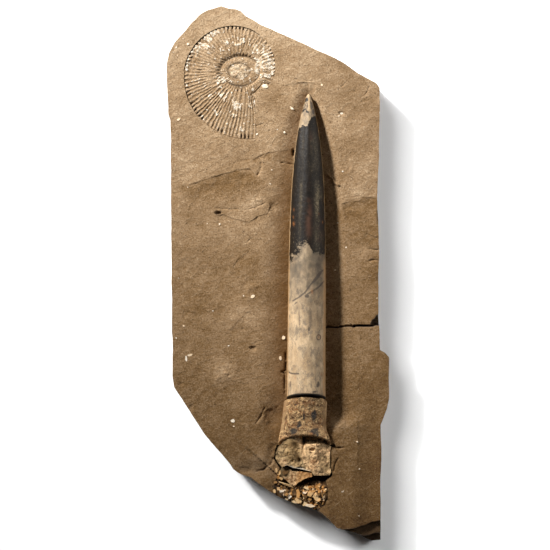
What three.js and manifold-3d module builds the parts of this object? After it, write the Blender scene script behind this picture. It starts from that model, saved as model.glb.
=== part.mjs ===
// Belemnite fossil on a loose slab of brown shale, with a flattened ammonite beside it.
// Millimetres, +Z up. The slab lies on its flat back at z = 0, the belemnite's tip points
// along +Y, and the origin is under the middle of the slab.
import * as THREE from 'three';
import { mergeVertices } from 'three/addons/utils/BufferGeometryUtils.js';
import Module from 'manifold-3d';

const wasm = await Module();
wasm.setup();

// ---------------------------------------------------------------- driving dimensions

const seatGap = 0.3;            // between a fossil and the shale that holds it
const gridStep = 6.4;           // facet size of the shale's face
const slabTop = 20;             // usual height of the shale's face
const troughDepth = 2.5;        // how far the face dips beside the belemnite

const guard = {
  length: 181.5,
  tip: [18.5, 108],             // x, y of the pointed end
  lean: 0.47,                   // degrees that the axis turns from +Y
  dip: 0.63,                    // degrees that the axis falls towards the tip
  axisHeight: 23.8,             // at the broken end
  radius: 11.1,
  flare: 0.5,                   // radius gained along the whole length
  taper: 28,                    // length over which the point opens out
  blunt: { radius: 0.6, start: 2, end: 12 },    // fullness of the very tip
  groove: { share: 0.25, fromTop: 0.55, wide: 0.3, reach: 30 },  // furrows beside the top ridge
  sides: 28,
};

const collar = {
  sides: 28,
  topSlope: 0.21,               // slant of the break next to the guard
  mouthSlope: 0.86,             // slant of the broken mouth
};

const ammonite = {
  centre: [-23, 122],
  radius: 42,                   // at the mouth, on the side towards the slab's middle
  growth: 0.1346,               // natural log of the radius gained per radian
  mouthAngle: -76,              // degrees, where the last whorl ends
  umbilicus: 0.32,              // inner edge of a whorl, as a share of its outer radius
  ribs: 86,
  ribHeight: 0.35,
  ribSweep: 8,                  // degrees that a rib leans back on its way out
  base: 16.2,                   // underside
  face: 19.2,                   // foot of the last whorl's relief
  sunk: 0.9,                    // how much lower the inner whorls lie
};

const pocketFloor = 15;         // floor of the hollow under the crushed end
const aboveAll = 40;            // height that clears the whole fossil, for upright cuts
const crack = { width: 0.8, depth: 7 };

// Outline of the slab, clockwise from its highest corner.
const slabOutline = [
  [-34, 161], [-24, 159.5], [-19, 155], [-9.5, 149.5], [7.5, 142], [30, 132], [48, 121],
  [59.5, 114.5], [61.5, 111.5], [61.5, 104], [60, 44], [61, 14], [60.5, -6], [61.5, -45.5],
  [64.5, -47], [67, -50.5], [67, -76], [64, -86], [62, -91], [62, -161], [56, -160.5],
  [46.5, -155.5], [35, -152.5], [26.5, -144.5], [13.5, -139], [6, -137], [-1.5, -133],
  [-16.5, -122.5], [-27, -117.5], [-34, -108], [-52.5, -83], [-61, -70.5], [-63.5, -61],
  [-64, -3], [-64.5, 92], [-66.5, 96], [-67, 118], [-66.5, 129], [-62, 139], [-54, 148],
  [-46.5, 156.5], [-40, 160],
];

// Outlines of the crushed front end, which lies below the collar.
const blockOutline = [
  [0.2, -103.4], [-1.2, -107], [-1.5, -110.5], [0.2, -113.5], [2.7, -115.8], [5.4, -114.5],
  [20.3, -118.4], [21.6, -120.7], [30.8, -120.6], [31.9, -119], [31, -115], [31, -107],
  [32, -103.4], [28.2, -103], [26, -100.4], [16, -98.8], [7.6, -100.4], [4.4, -103],
];
const wedgeOutline = [
  [1.8, -116.6], [5.5, -115.5], [20.2, -119.3], [20.6, -121.2], [11.9, -125.2], [9.9, -127.3],
  [7, -125.5], [5.2, -123.6], [1.8, -121.2],
];
const rubbleOutline = [
  [-0.6, -123], [3.4, -125.8], [8, -128.6], [11.8, -129.4], [15.6, -126.8], [21.4, -124],
  [28, -124.4], [29.6, -128], [29.6, -134], [28.2, -138.4], [24.4, -141.2], [12.8, -138.4],
  [6.2, -135.8], [0.2, -133], [-2.2, -129],
];
// Hollow in the shale that holds them, open towards the slab's lower edge.
const pocketOutline = [
  [6.6, -98.2], [3.4, -102.6], [-0.6, -102.6], [-2, -107], [-2.3, -110.8], [-0.6, -114],
  [0.9, -116], [1, -121.4], [-1.4, -122.6], [-3, -129], [-4, -138], [20, -148], [27, -143],
  [29.2, -139.2], [30.2, -134], [30.2, -127.6], [29, -123.6], [32.4, -121.2], [32.8, -118.8],
  [31.7, -115], [31.7, -107], [33, -102.6], [29.2, -102.6], [26.8, -98.2],
];

// ---------------------------------------------------------------- small helpers

const radians = THREE.MathUtils.degToRad;
const clamp = THREE.MathUtils.clamp;
const rampUp = (value, low, high) => THREE.MathUtils.smoothstep(value, low, high);
const mound = (x, y, centre, reachX, reachY) =>
  Math.exp(-(((x - centre[0]) / reachX) ** 2) - ((y - centre[1]) / reachY) ** 2);

// Repeatable value between 0 and 1 for a pair of whole numbers.
function hash(i, j) {
  const wave = Math.sin(i * 127.1 + j * 311.7) * 43758.5453;
  return wave - Math.floor(wave);
}

// Smooth rolling noise between -1 and 1.
function roll(x, y, size) {
  const u = x / size;
  const v = y / size;
  const i = Math.floor(u);
  const j = Math.floor(v);
  const s = rampUp(u - i, 0, 1);
  const t = rampUp(v - j, 0, 1);
  const low = hash(i, j) * (1 - s) + hash(i + 1, j) * s;
  const high = hash(i, j + 1) * (1 - s) + hash(i + 1, j + 1) * s;
  return 2 * (low * (1 - t) + high * t) - 1;
}

// Height of a polyline y(x) at x, level outside its ends.
function lineAt(points, x) {
  if (x <= points[0][0]) return points[0][1];
  for (let k = 1; k < points.length; k += 1) {
    const [x0, y0] = points[k - 1];
    const [x1, y1] = points[k];
    if (x <= x1) return y0 + ((y1 - y0) * (x - x0)) / (x1 - x0);
  }
  return points[points.length - 1][1];
}

// A closed mesh with merged corners, ready for joining and cutting.
function closed(geometry) {
  const bare = geometry.index ? geometry.toNonIndexed() : geometry.clone();
  bare.deleteAttribute('normal');
  bare.deleteAttribute('uv');
  return mergeVertices(bare, 1e-4);
}

function toSolid(geometry) {
  const merged = closed(geometry);
  return new wasm.Manifold(new wasm.Mesh({
    numProp: 3,
    vertProperties: new Float32Array(merged.attributes.position.array),
    triVerts: new Uint32Array(merged.index.array),
  }));
}

function toGeometry(solid) {
  const { vertProperties, triVerts, numProp } = solid.getMesh();
  const places = [];
  for (let k = 0; k < vertProperties.length; k += numProp) {
    places.push(vertProperties[k], vertProperties[k + 1], vertProperties[k + 2]);
  }
  const geometry = new THREE.BufferGeometry();
  geometry.setAttribute('position', new THREE.Float32BufferAttribute(places, 3));
  geometry.setIndex(Array.from(triVerts));
  return geometry;
}

function moveVertices(geometry, place) {
  const position = geometry.attributes.position;
  const point = new THREE.Vector3();
  for (let k = 0; k < position.count; k += 1) {
    point.fromBufferAttribute(position, k);
    place(point);
    position.setXYZ(k, point.x, point.y, point.z);
  }
  return geometry;
}

// Closed skin over rings with the same number of points, seen anticlockwise from above.
// Flat ends are closed as outlines, and ends with a middle point as fans round it.
function skin(rings, middles = []) {
  const sides = rings[0].length;
  const last = (rings.length - 1) * sides;
  const places = [...rings.flat(), ...middles];
  const faces = [];
  for (let r = 0; r + 1 < rings.length; r += 1) {
    for (let s = 0; s < sides; s += 1) {
      const a = r * sides + s;
      const b = r * sides + ((s + 1) % sides);
      faces.push(a, b, b + sides, a, b + sides, a + sides);
    }
  }
  if (middles.length) {
    for (let s = 0; s < sides; s += 1) {
      const next = (s + 1) % sides;
      faces.push(last + sides, next, s, last + sides + 1, last + s, last + next);
    }
  } else {
    const capOf = (ring) =>
      THREE.ShapeUtils.triangulateShape(ring.map(([x, y]) => new THREE.Vector2(x, y)), []);
    for (const [a, b, c] of capOf(rings[0])) faces.push(a, c, b);
    for (const [a, b, c] of capOf(rings[rings.length - 1])) faces.push(last + a, last + b, last + c);
  }
  const geometry = new THREE.BufferGeometry();
  geometry.setAttribute('position', new THREE.Float32BufferAttribute(places.flat(), 3));
  geometry.setIndex(faces);
  return geometry;
}

// Upright prism over an outline.
function prism(outline, low, high) {
  const shape = new THREE.Shape(outline.map(([x, y]) => new THREE.Vector2(x, y)));
  const options = { depth: high - low, bevelEnabled: false };
  return new THREE.ExtrudeGeometry(shape, options).translate(0, 0, low);
}

// The outline moved outwards by a distance, for anticlockwise points.
function grown(outline, distance) {
  const normal = (from, to) => new THREE.Vector2(to[1] - from[1], from[0] - to[0]).normalize();
  return outline.map((corner, k) => {
    const before = normal(outline[(k + outline.length - 1) % outline.length], corner);
    const after = normal(corner, outline[(k + 1) % outline.length]);
    const out = before.clone().add(after).multiplyScalar(distance / (1 + before.dot(after)));
    return [corner[0] + out.x, corner[1] + out.y];
  });
}

// Block under a surface z = heightAt(x, y), with its corners scattered a little.
function underSurface(outline, heightAt, step) {
  const box = new THREE.Box2().setFromPoints(outline.map(([x, y]) => new THREE.Vector2(x, y)));
  const size = box.getSize(new THREE.Vector2()).addScalar(4 * step);
  const middle = box.getCenter(new THREE.Vector2());
  const columns = Math.round(size.x / step);
  const rows = Math.round(size.y / step);
  const block = closed(new THREE.BoxGeometry(size.x, size.y, 2, columns, rows, 1));
  const deep = -5;
  return moveVertices(block, (point) => {
    const scatter = 0.3 * step;
    const i = Math.round((point.x / size.x) * columns * 2);
    const j = Math.round((point.y / size.y) * rows * 2);
    point.x += middle.x + scatter * (hash(i, j) - 0.5);
    point.y += middle.y + scatter * (hash(j + 57, i) - 0.5);
    point.z = point.z > 0 ? heightAt(point.x, point.y) : deep;
  });
}

// ---------------------------------------------------------------- belemnite guard

// Radius of the guard at a distance from its tip: a blunt point that opens into a long rod.
function guardRadius(t) {
  const { radius, flare, length, taper, blunt } = guard;
  const rod = (radius + (flare * t) / length) * (1 - Math.exp(-t / taper));
  return rod + blunt.radius * (1 - Math.exp(-t / blunt.start)) * Math.exp(-t / blunt.end);
}

// x of the axis at a height along the slab.
const guardAxisX = (y) => guard.tip[0] - (guard.tip[1] - y) * Math.tan(radians(guard.lean));

function guardSolid(grow) {
  const stations = [0.5, 1.8, 4, 8, 14, 22, 32, 44, 58, 76, 98, 122, 150, guard.length];
  const profile = [new THREE.Vector2(0, grow)];
  for (const t of stations) profile.push(new THREE.Vector2(guardRadius(t) + grow, -t));
  profile[profile.length - 1].y -= grow;
  profile.push(new THREE.Vector2(0, -guard.length - grow));
  const lathe = closed(new THREE.LatheGeometry(profile.reverse(), guard.sides));
  const { share, fromTop, wide, reach } = guard.groove;
  moveVertices(lathe, (point) => {
    const fromFurrow = (Math.abs(Math.atan2(point.x, point.z)) - fromTop) / wide;
    const depth = share * Math.exp(point.y / reach) * Math.exp(-(fromFurrow ** 2));
    const inwards = 1 - (depth * guardRadius(-point.y)) / guard.radius;
    point.x *= inwards;
    point.z *= inwards;
    const nearBreak = rampUp(-point.y, guard.length - 25, guard.length);
    point.y += collar.topSlope * point.z * nearBreak;
  });
  lathe.rotateX(radians(-guard.dip));
  lathe.rotateZ(radians(-guard.lean));
  const fall = guard.length * Math.sin(radians(guard.dip));
  return lathe.translate(guard.tip[0], guard.tip[1], guard.axisHeight - fall);
}

// ---------------------------------------------------------------- collar below the break

// Sections of the collar from the break to the mouth: y, centre x, half width, half height.
const collarSections = [
  { y: -77.6, x: 16.6, wide: 12.9, high: 10.9, axis: 23.7 },
  { y: -82, x: 16.3, wide: 13.1, high: 10.3, axis: 23.4 },
  { y: -89.5, x: 15.7, wide: 13.3, high: 8.8, axis: 22.9 },
  { y: -94, x: 15.4, wide: 13.9, high: 7.8, axis: 22.7 },
  { y: -99, x: 15.9, wide: 15.4, high: 7.1, axis: 22.6 },
  { y: -102.6, x: 16.1, wide: 16, high: 6.8, axis: 22.6 },
];

// The skin's rings lie one above the other, so the tube is built upright and laid along -Y.
function collarTube(sections, grow) {
  const last = sections.length - 1;
  const endAt = (k) => (k === last ? grow : 0) - (k === 0 ? grow : 0) - sections[k].y;
  const rings = sections.map((section, k) => {
    const ring = [];
    for (let s = 0; s < collar.sides; s += 1) {
      const angle = (s / collar.sides) * 2 * Math.PI;
      const across = Math.cos(angle) * (section.wide + grow);
      const up = Math.sin(angle) * (section.high + grow);
      const share = k / last;
      const slant = collar.topSlope * up * (1 - share) + collar.mouthSlope * Math.abs(up) * share;
      ring.push([section.x + across, section.axis + up, endAt(k) - slant]);
    }
    return ring;
  });
  const middles = [0, last].map((k) => [sections[k].x, sections[k].axis, endAt(k)]);
  return skin(rings, middles).rotateX(radians(90));
}

function collarSolid() {
  const hollow = [
    { y: -84, x: 16.2, wide: 3, high: 2, axis: 23.2 },
    { y: -92, x: 15.8, wide: 9.5, high: 4.4, axis: 22.8 },
    { y: -99, x: 15.9, wide: 12.9, high: 5, axis: 22.6 },
    { y: -106, x: 16.2, wide: 14.2, high: 5.2, axis: 22.6 },
  ];
  return toSolid(collarTube(collarSections, 0)).subtract(toSolid(collarTube(hollow, 0)));
}

// ---------------------------------------------------------------- crushed front end

// Crushed chambers: rounded lumps on the left, a rough plate that slopes off to the right.
function blockHeight(x, y) {
  const plate = 25.6 - 2.2 * rampUp(x, 22, 32) - 3.4 * rampUp(y, -104, -99);
  const lumps = 1.1 * mound(x, y, [7, -106], 4, 3.5) + 0.9 * mound(x, y, [3, -112], 3, 3.5);
  const valley = 1.2 * mound(x, y, [12.5, -108], 1.8, 6);
  return plate + lumps - valley - 1.4 * rampUp(-x, -9, 1) + 0.5 * roll(x, y, 4);
}

const wedgeHeight = (x, y) => 23.4 + 0.12 * (x - 10) + 0.22 * (y + 120) + 0.4 * roll(x, y, 3.5);

function trimmed(outline, base, heightAt, step) {
  const top = toSolid(underSurface(outline, heightAt, step));
  return toSolid(prism(outline, base, aboveAll)).intersect(top);
}

// Broken calcite, cemented into one mass: faceted chips sunk in a low bed.
function rubbleSolid() {
  const base = pocketFloor + seatGap;
  const bed = 2.6;
  let mass = toSolid(prism(rubbleOutline, base, base + bed));
  for (let row = 0; row < 3; row += 1) {
    for (let column = 0; column < 5; column += 1) {
      const seed = row * 5 + column;
      const x = 1 + column * 6.4 + 2.4 * (hash(seed, 1) - 0.5);
      const y = -126.2 - row * 4.4 - column * 0.8 + 2.4 * (hash(seed, 2) - 0.5);
      const tall = 2.4 + 1.8 * hash(seed, 5);
      const chip = new THREE.IcosahedronGeometry(1, 0);
      chip.scale(2.2 + 1.6 * hash(seed, 3), 1.8 + 1.4 * hash(seed, 4), tall);
      chip.rotateZ(Math.PI * hash(seed, 6));
      chip.rotateX(1.2 * (hash(seed, 7) - 0.5));
      chip.translate(x, y, base + bed + 0.4 * tall);
      mass = mass.add(toSolid(chip));
    }
  }
  return mass.intersect(toSolid(prism(rubbleOutline, base, aboveAll)));
}

// ---------------------------------------------------------------- ammonite

// One column of points for each rib and each furrow, from the mouth back round the last whorl.
const ammoniteColumns = 2 * ammonite.ribs;
const turnedBack = (column) => ((column + 0.5) / ammoniteColumns) * 2 * Math.PI;
const columnAngle = (column) => radians(ammonite.mouthAngle) - turnedBack(column);
const columnRadius = (column) => ammonite.radius * Math.exp(-ammonite.growth * turnedBack(column));

function onAmmonite(angle, radius) {
  return [ammonite.centre[0] + radius * Math.cos(angle), ammonite.centre[1] + radius * Math.sin(angle)];
}

// Rise of a whorl from its inner edge (0) to its outer edge (1).
const whorlRise = (share) => 0.9 * Math.sin(Math.PI * clamp(share, 0, 1) ** 0.6);

function ammoniteSolid() {
  const inner = ammonite.umbilicus;
  const shares = [0.14, 0.22, inner - 0.02, inner + 0.03, 0.6, 0.94, 1];
  const rows = shares.length + 1;
  const places = [
    [...ammonite.centre, ammonite.face],
    [...ammonite.centre, ammonite.base],
  ];
  for (let column = 0; column < ammoniteColumns; column += 1) {
    const rib = ammonite.ribHeight * (column % 2 ? 1 : -1);
    const fade = Math.sin((Math.PI * column) / ammoniteColumns);
    for (const share of shares) {
      const onLastWhorl = share > inner;
      const across = onLastWhorl ? (share - inner) / (1 - inner) : share / inner;
      const ribbed = onLastWhorl && share < 1 ? rib : 0;
      const rise = whorlRise(across) + ribbed - (onLastWhorl ? 0 : ammonite.sunk);
      const sweep = share < 1 ? ammonite.ribSweep * share * fade : 0;
      const angle = columnAngle(column) - radians(sweep);
      places.push([...onAmmonite(angle, columnRadius(column) * share), ammonite.face + rise]);
    }
    places.push([...onAmmonite(columnAngle(column), columnRadius(column)), ammonite.base]);
  }
  const at = (column, row) => 2 + (column % ammoniteColumns) * rows + row;
  const faces = [];
  for (let column = 0; column < ammoniteColumns; column += 1) {
    faces.push(0, at(column + 1, 0), at(column, 0));
    for (let row = 0; row + 1 < rows; row += 1) {
      const a = at(column, row);
      const b = at(column + 1, row);
      faces.push(a, b, b + 1, a, b + 1, a + 1);
    }
    faces.push(1, at(column, rows - 1), at(column + 1, rows - 1));
  }
  const geometry = new THREE.BufferGeometry();
  geometry.setAttribute('position', new THREE.Float32BufferAttribute(places.flat(), 3));
  geometry.setIndex(faces);
  return geometry;
}

// Seat of the ammonite in the shale: its own outline, grown by the gap.
function ammoniteSeat() {
  const outline = [];
  for (let column = ammoniteColumns - 1; column > 0; column -= 3) {
    outline.push(onAmmonite(columnAngle(column), columnRadius(column)));
  }
  outline.push(onAmmonite(columnAngle(0), columnRadius(0)));
  return prism(grown(outline, seatGap), ammonite.base - seatGap, aboveAll);
}

// ---------------------------------------------------------------- shale slab

// Edge of a split bed: the face stands higher above the line and dips just below it.
function beddingStep(x, y, line, drop, reach) {
  const below = lineAt(line, x) - y;
  const [start, end] = [line[0][0], line.at(-1)[0]];
  const within = rampUp(x, start - 4, start) - rampUp(x, end, end + 4);
  return -drop * within * rampUp(below, -1, 2.5) * (1 - rampUp(below, 3, reach));
}

const leftStep = [
  [-60, 51.5], [-50, 54.5], [-29.5, 61], [-20, 63.5], [-12, 62], [-6, 73], [8, 76],
];
const rightStep = [[38, 42], [48.5, 44], [51, 47], [60, 46]];

function faceHeight(x, y) {
  const axis = guardAxisX(y);
  const along = clamp(guard.tip[1] - y, 0, guard.length);
  const beside = Math.abs(x - axis) - guardRadius(along);
  const open = rampUp(along, 0, 60);
  const reach = x < axis ? 8 + 8 * open : 6 + 6 * open;
  const beyondTip = Math.max(0, y - guard.tip[1]);
  const away = Math.hypot(Math.max(beside, 0), beyondTip);
  const ending = x < axis ? rampUp(y, -112, -95) : rampUp(y, -90, -80);
  const trough = -troughDepth * (1 - rampUp(away, 0, reach)) * ending;
  const bank = 2.4 * rampUp(-y, 82, 92) * rampUp(x, 24, 32) * (1 - rampUp(x, 44, 58));
  const leftHollow = -1.2 * mound(x, y, [-3, -86], 7, 9) - 1.8 * mound(x, y, [-14, -118], 10, 5);
  const swell = 0.7 * mound(x, y, [-33, -60], 8, 6) + 0.6 * mound(x, y, [-25, -28], 12, 8);
  const split = beddingStep(x, y, leftStep, 1.3, 20) + beddingStep(x, y, rightStep, 0.9, 16);
  return slabTop + trough + bank + leftHollow + swell + split + 0.35 * roll(x, y, 17);
}

// The broken sides step in and out from bed to bed, most of all near the back.
function slabSides() {
  const beds = [
    { low: 0, high: 5.6, inset: 1.6 },
    { low: 6.2, high: 12.4, inset: 0.7 },
    { low: 13, high: aboveAll, inset: 0 },
  ];
  const longest = 14;
  const path = [];
  slabOutline.forEach((corner, k) => {
    const next = slabOutline[(k + 1) % slabOutline.length];
    const parts = Math.ceil(Math.hypot(next[0] - corner[0], next[1] - corner[1]) / longest);
    for (let part = 0; part < parts; part += 1) {
      const share = part / parts;
      path.push(corner.map((value, axis) => value + (next[axis] - value) * share));
    }
  });
  path.reverse();
  const rings = [];
  beds.forEach(({ low, high, inset }, bed) => {
    const outline = path.map(([x, y], k) => {
      const before = path[(k + path.length - 1) % path.length];
      const after = path[(k + 1) % path.length];
      const edge = new THREE.Vector2(after[0] - before[0], after[1] - before[1]).normalize();
      const depth = inset * (0.4 + 1.2 * hash(k, bed));
      return [x - edge.y * depth, y + edge.x * depth];
    });
    rings.push(outline.map(([x, y]) => [x, y, low]), outline.map(([x, y]) => [x, y, high]));
  });
  return skin(rings);
}

// Wedge-shaped groove along a line on the face, as wide as a hair crack in the shale.
function groove(points, width, depth) {
  let cut = null;
  for (let k = 1; k < points.length; k += 1) {
    const [x0, y0] = points[k - 1];
    const [x1, y1] = points[k];
    const length = Math.hypot(x1 - x0, y1 - y0);
    const shape = new THREE.Shape([
      new THREE.Vector2(-width / 2, 8), new THREE.Vector2(0, -depth), new THREE.Vector2(width / 2, 8),
    ]);
    const piece = new THREE.ExtrudeGeometry(shape, { depth: length + 0.6, bevelEnabled: false });
    piece.rotateX(radians(90)).rotateZ(Math.atan2(y1 - y0, x1 - x0) + radians(90));
    piece.translate(x0, y0, slabTop);
    cut = cut ? cut.add(toSolid(piece)) : toSolid(piece);
  }
  return cut;
}

// Ledges, chips and pits where pieces of the face are gone: outline and the height left.
const missing = [
  { floor: 15.5, outline: [[63, -23.5], [56.5, -28], [55.5, -31.4], [63, -30.6]] },
  {
    floor: 17.4,
    outline: [
      [34, -170], [34, -153.4], [40.5, -154.5], [50.5, -151], [56.5, -148.5], [70, -147], [70, -170],
    ],
  },
  { floor: 14.5, outline: [[44, -170], [45, -156.4], [57, -157], [70, -154.8], [70, -170]] },
  { floor: 18.6, outline: [[-38.4, 37], [-36, 38], [-33.6, 36.6], [-35.8, 35.2]] },
  { floor: 18.9, outline: [[-17, -44], [-13, -43.6], [-12.6, -46], [-16.4, -46.4]] },
];

const cracks = [
  { points: [[27, -32], [39.5, -31.6], [56, -31], [63, -30]], ...crack },
  { points: [[-10, 68], [-10, 63], [-12.5, 58.5]], width: 1.2, depth: 1 },
  { points: [[-39, 38], [-18, 38.6], [-6, 43]], width: 0.8, depth: 1 },
  { points: [[-33, 35.6], [-17.5, 31.5], [-6.5, 36.5], [-5, 40.5]], width: 0.9, depth: 1 },
  { points: [[-14, 23], [-19, 18.5], [-27.5, 4]], width: 0.7, depth: 0.8 },
  { points: [[-7.5, -79.5], [-14, -90.5]], width: 0.8, depth: 1 },
  { points: [[33.6, -108.5], [33.6, -116.5], [35, -112], [38, -109]], width: 0.8, depth: 1.5 },
];

function slabSolid() {
  let slab = toSolid(slabSides()).intersect(toSolid(underSurface(slabOutline, faceHeight, gridStep)));
  slab = slab.subtract(toSolid(guardSolid(seatGap)));
  slab = slab.subtract(toSolid(collarTube(collarSections, seatGap)));
  slab = slab.subtract(toSolid(prism(pocketOutline, pocketFloor, aboveAll)));
  slab = slab.subtract(toSolid(ammoniteSeat()));
  for (const { floor, outline } of missing) {
    slab = slab.subtract(toSolid(prism(outline, floor, aboveAll)));
  }
  for (const { points, width, depth } of cracks) {
    slab = slab.subtract(groove(points, width, depth));
  }
  return slab;
}

// ---------------------------------------------------------------- scene graph

const fossil = new THREE.Group();
fossil.name = 'belemnite_fossil';

function addPiece(name, geometry, color, roughness) {
  const material = new THREE.MeshStandardMaterial({ color, roughness, metalness: 0 });
  const mesh = new THREE.Mesh(geometry, material);
  mesh.name = name;
  fossil.add(mesh);
}

addPiece('shale_slab', toGeometry(slabSolid()), 0x95795a, 0.92);
addPiece('belemnite_guard', closed(guardSolid(0)), 0x5a5048, 0.35);
addPiece('alveolus_collar', toGeometry(collarSolid()), 0xb8926a, 0.7);
addPiece('phragmocone_block', toGeometry(trimmed(blockOutline, pocketFloor + seatGap, blockHeight, 3.2)),
  0xa88a68, 0.85);
addPiece('phragmocone_wedge', toGeometry(trimmed(wedgeOutline, pocketFloor + seatGap, wedgeHeight, 3)),
  0xc49a68, 0.75);
addPiece('phragmocone_rubble', toGeometry(rubbleSolid()), 0xc8a880, 0.75);
addPiece('ammonite', closed(ammoniteSolid()), 0xb0926e, 0.8);

export default fossil;
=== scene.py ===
import math

import bpy
import numpy as np
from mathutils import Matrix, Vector
from mathutils.geometry import delaunay_2d_cdt, tessellate_polygon


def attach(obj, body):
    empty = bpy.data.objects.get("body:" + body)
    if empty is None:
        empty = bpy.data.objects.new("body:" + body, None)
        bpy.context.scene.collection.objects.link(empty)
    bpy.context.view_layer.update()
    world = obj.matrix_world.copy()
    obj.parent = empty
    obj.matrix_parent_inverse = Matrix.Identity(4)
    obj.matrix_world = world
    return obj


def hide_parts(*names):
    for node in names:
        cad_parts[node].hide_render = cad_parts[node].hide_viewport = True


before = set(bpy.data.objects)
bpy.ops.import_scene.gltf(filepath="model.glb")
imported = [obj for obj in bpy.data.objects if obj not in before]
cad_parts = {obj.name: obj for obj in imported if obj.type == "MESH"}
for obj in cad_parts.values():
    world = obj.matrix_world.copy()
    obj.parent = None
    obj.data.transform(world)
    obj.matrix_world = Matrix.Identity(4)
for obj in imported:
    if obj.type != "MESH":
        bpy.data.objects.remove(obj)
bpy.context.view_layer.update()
mm = 0.001    # every size below is in millimetres
print("frame loaded:", len(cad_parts), "nodes")


# Small helpers for shapes

def smooth(value, low, high):
    share = np.clip((value - low) / (high - low), 0, 1)
    return share * share * (3 - 2 * share)


def between(value, rise, full, ebb, gone):
    # 1 from full to ebb, fading to 0 at rise and at gone
    return smooth(value, rise, full) * (1 - smooth(value, ebb, gone))


def bell(value, centre, width):
    return np.exp(-((value - centre) / width) ** 2)


def mound(x, y, centreX, centreY, reachX, reachY):
    return np.exp(-((x - centreX) / reachX) ** 2 - ((y - centreY) / reachY) ** 2)


def mounds(x, y, rows):
    # each row ends with its height
    return sum(row[4] * mound(x, y, *row[:4]) for row in rows)


def oval(x, y, centreX, centreY, halfX, halfY, turn=0, wobble=0, core=0.5, rim=1.2):
    # 1 within the core of a turned oval, fading to 0 at its rim
    cosine, sine = math.cos(math.radians(turn)), math.sin(math.radians(turn))
    u = ((x - centreX) * cosine + (y - centreY) * sine) / halfX
    v = ((y - centreY) * cosine - (x - centreX) * sine) / halfY
    return 1 - smooth(np.hypot(u, v) + wobble, core, rim)


def hashed(i, j, seed=0):
    wave = np.sin(i * 127.1 + j * 311.7 + seed * 74.7) * 43758.5453
    return wave - np.floor(wave)


def rolling(x, y, size, seed=0):
    i = np.floor(x / size)
    j = np.floor(y / size)
    s = smooth(x / size - i, 0, 1)
    t = smooth(y / size - j, 0, 1)
    low = hashed(i, j, seed) * (1 - s) + hashed(i + 1, j, seed) * s
    high = hashed(i, j + 1, seed) * (1 - s) + hashed(i + 1, j + 1, seed) * s
    return 2 * (low * (1 - t) + high * t) - 1


def grainy(x, y, size, octaves=4, seed=1):
    total = 0
    for octave in range(octaves):
        total = total + rolling(x, y, size, seed + octave) / 2 ** octave
        x, y = 0.8 * x - 0.6 * y, 0.6 * x + 0.8 * y    # turned, so that the lattice doesn't show
        size = size / 2.1
    return total / 1.6


def wavy(along, size, octaves, seed):
    return grainy(along, 0 * along, size, octaves, seed)


def resampled(points, step, loop=False):
    points = np.array(points, float)
    if loop:
        points = np.vstack([points, points[:1]])
    reached = np.r_[0, np.cumsum(np.hypot(*np.diff(points, axis=0).T))]
    count = max(2, round(reached[-1] / step))
    along = np.linspace(0, reached[-1], count, endpoint=not loop)
    return np.column_stack([np.interp(along, reached, points[:, k]) for k in (0, 1)])


def sideways(line, loop=False):
    # unit vectors to the left of the way along the line
    if loop:
        ahead = np.roll(line, -1, axis=0) - np.roll(line, 1, axis=0)
    else:
        ahead = np.gradient(line, axis=0)
    ahead = ahead / np.maximum(np.hypot(*ahead.T), 1e-9)[:, None]
    return np.column_stack([-ahead[:, 1], ahead[:, 0]])


def roughened(points, step, amount, seed):
    line = resampled(points, step)
    shift = amount * wavy(np.arange(len(line)) * step, 3.5, 3, seed)
    return line + sideways(line) * shift[:, None]


def nearLine(x, y, line, reach):
    # distance to the line, 1 on its left and -1 on its right, and the share of its length
    away = np.full(x.shape, 1e3)
    side = np.zeros(x.shape)
    along = np.zeros(x.shape)
    low = line.min(axis=0) - reach
    high = line.max(axis=0) + reach
    near = np.flatnonzero((x > low[0]) & (x < high[0]) & (y > low[1]) & (y < high[1]))
    px, py = x[near], y[near]
    best = np.full(px.shape, 1e3)
    turned = np.zeros(px.shape)
    place = np.zeros(px.shape)
    for k in range(len(line) - 1):
        dx, dy = line[k + 1] - line[k]
        share = np.clip(((px - line[k, 0]) * dx + (py - line[k, 1]) * dy) / (dx * dx + dy * dy), 0, 1)
        gapX = px - line[k, 0] - share * dx
        gapY = py - line[k, 1] - share * dy
        gap = np.hypot(gapX, gapY)
        closer = gap < best
        best = np.where(closer, gap, best)
        turned = np.where(closer, np.sign(dx * gapY - dy * gapX), turned)
        place = np.where(closer, (k + share) / (len(line) - 1), place)
    away[near] = best
    side[near] = turned
    along[near] = place
    return away, side, along


def isInside(x, y, outline):
    result = np.zeros(x.shape, bool)
    for (x0, y0), (x1, y1) in zip(outline, np.roll(outline, -1, axis=0)):
        if y0 != y1:
            result ^= ((y0 > y) != (y1 > y)) & (x < (x1 - x0) * (y - y0) / (y1 - y0) + x0)
    return result


def intoOutline(x, y, outline, reach):
    # how far inside a closed outline, negative outside
    outline = np.array(outline)
    away = nearLine(x, y, np.vstack([outline, outline[:1]]), reach)[0]
    return np.where(isInside(x, y, outline), away, -away)


def anticlockwise(flat, faces):
    a, b, c = (flat[faces[:, k]] for k in (0, 1, 2))
    turn = (b[:, 0] - a[:, 0]) * (c[:, 1] - a[:, 1]) - (b[:, 1] - a[:, 1]) * (c[:, 0] - a[:, 0])
    return np.where((turn < 0)[:, None], faces[:, ::-1], faces)


# Small helpers for Blender objects

def linked(name, content):
    item = bpy.data.objects.new(name, content)
    bpy.context.scene.collection.objects.link(item)
    return item


def makePiece(name, points, faces, sharpAngle=55):
    corner = points[faces]
    if (corner[:, 0] * np.cross(corner[:, 1], corner[:, 2])).sum() < 0:    # inside out
        faces = faces[:, ::-1]
    mesh = bpy.data.meshes.new(name)
    mesh.from_pydata((points * mm).tolist(), [], faces.tolist())
    mesh.validate()
    smoothFaces(mesh, True)
    mesh.set_sharp_from_angle(angle=math.radians(sharpAngle))
    return linked(name, mesh)


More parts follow.
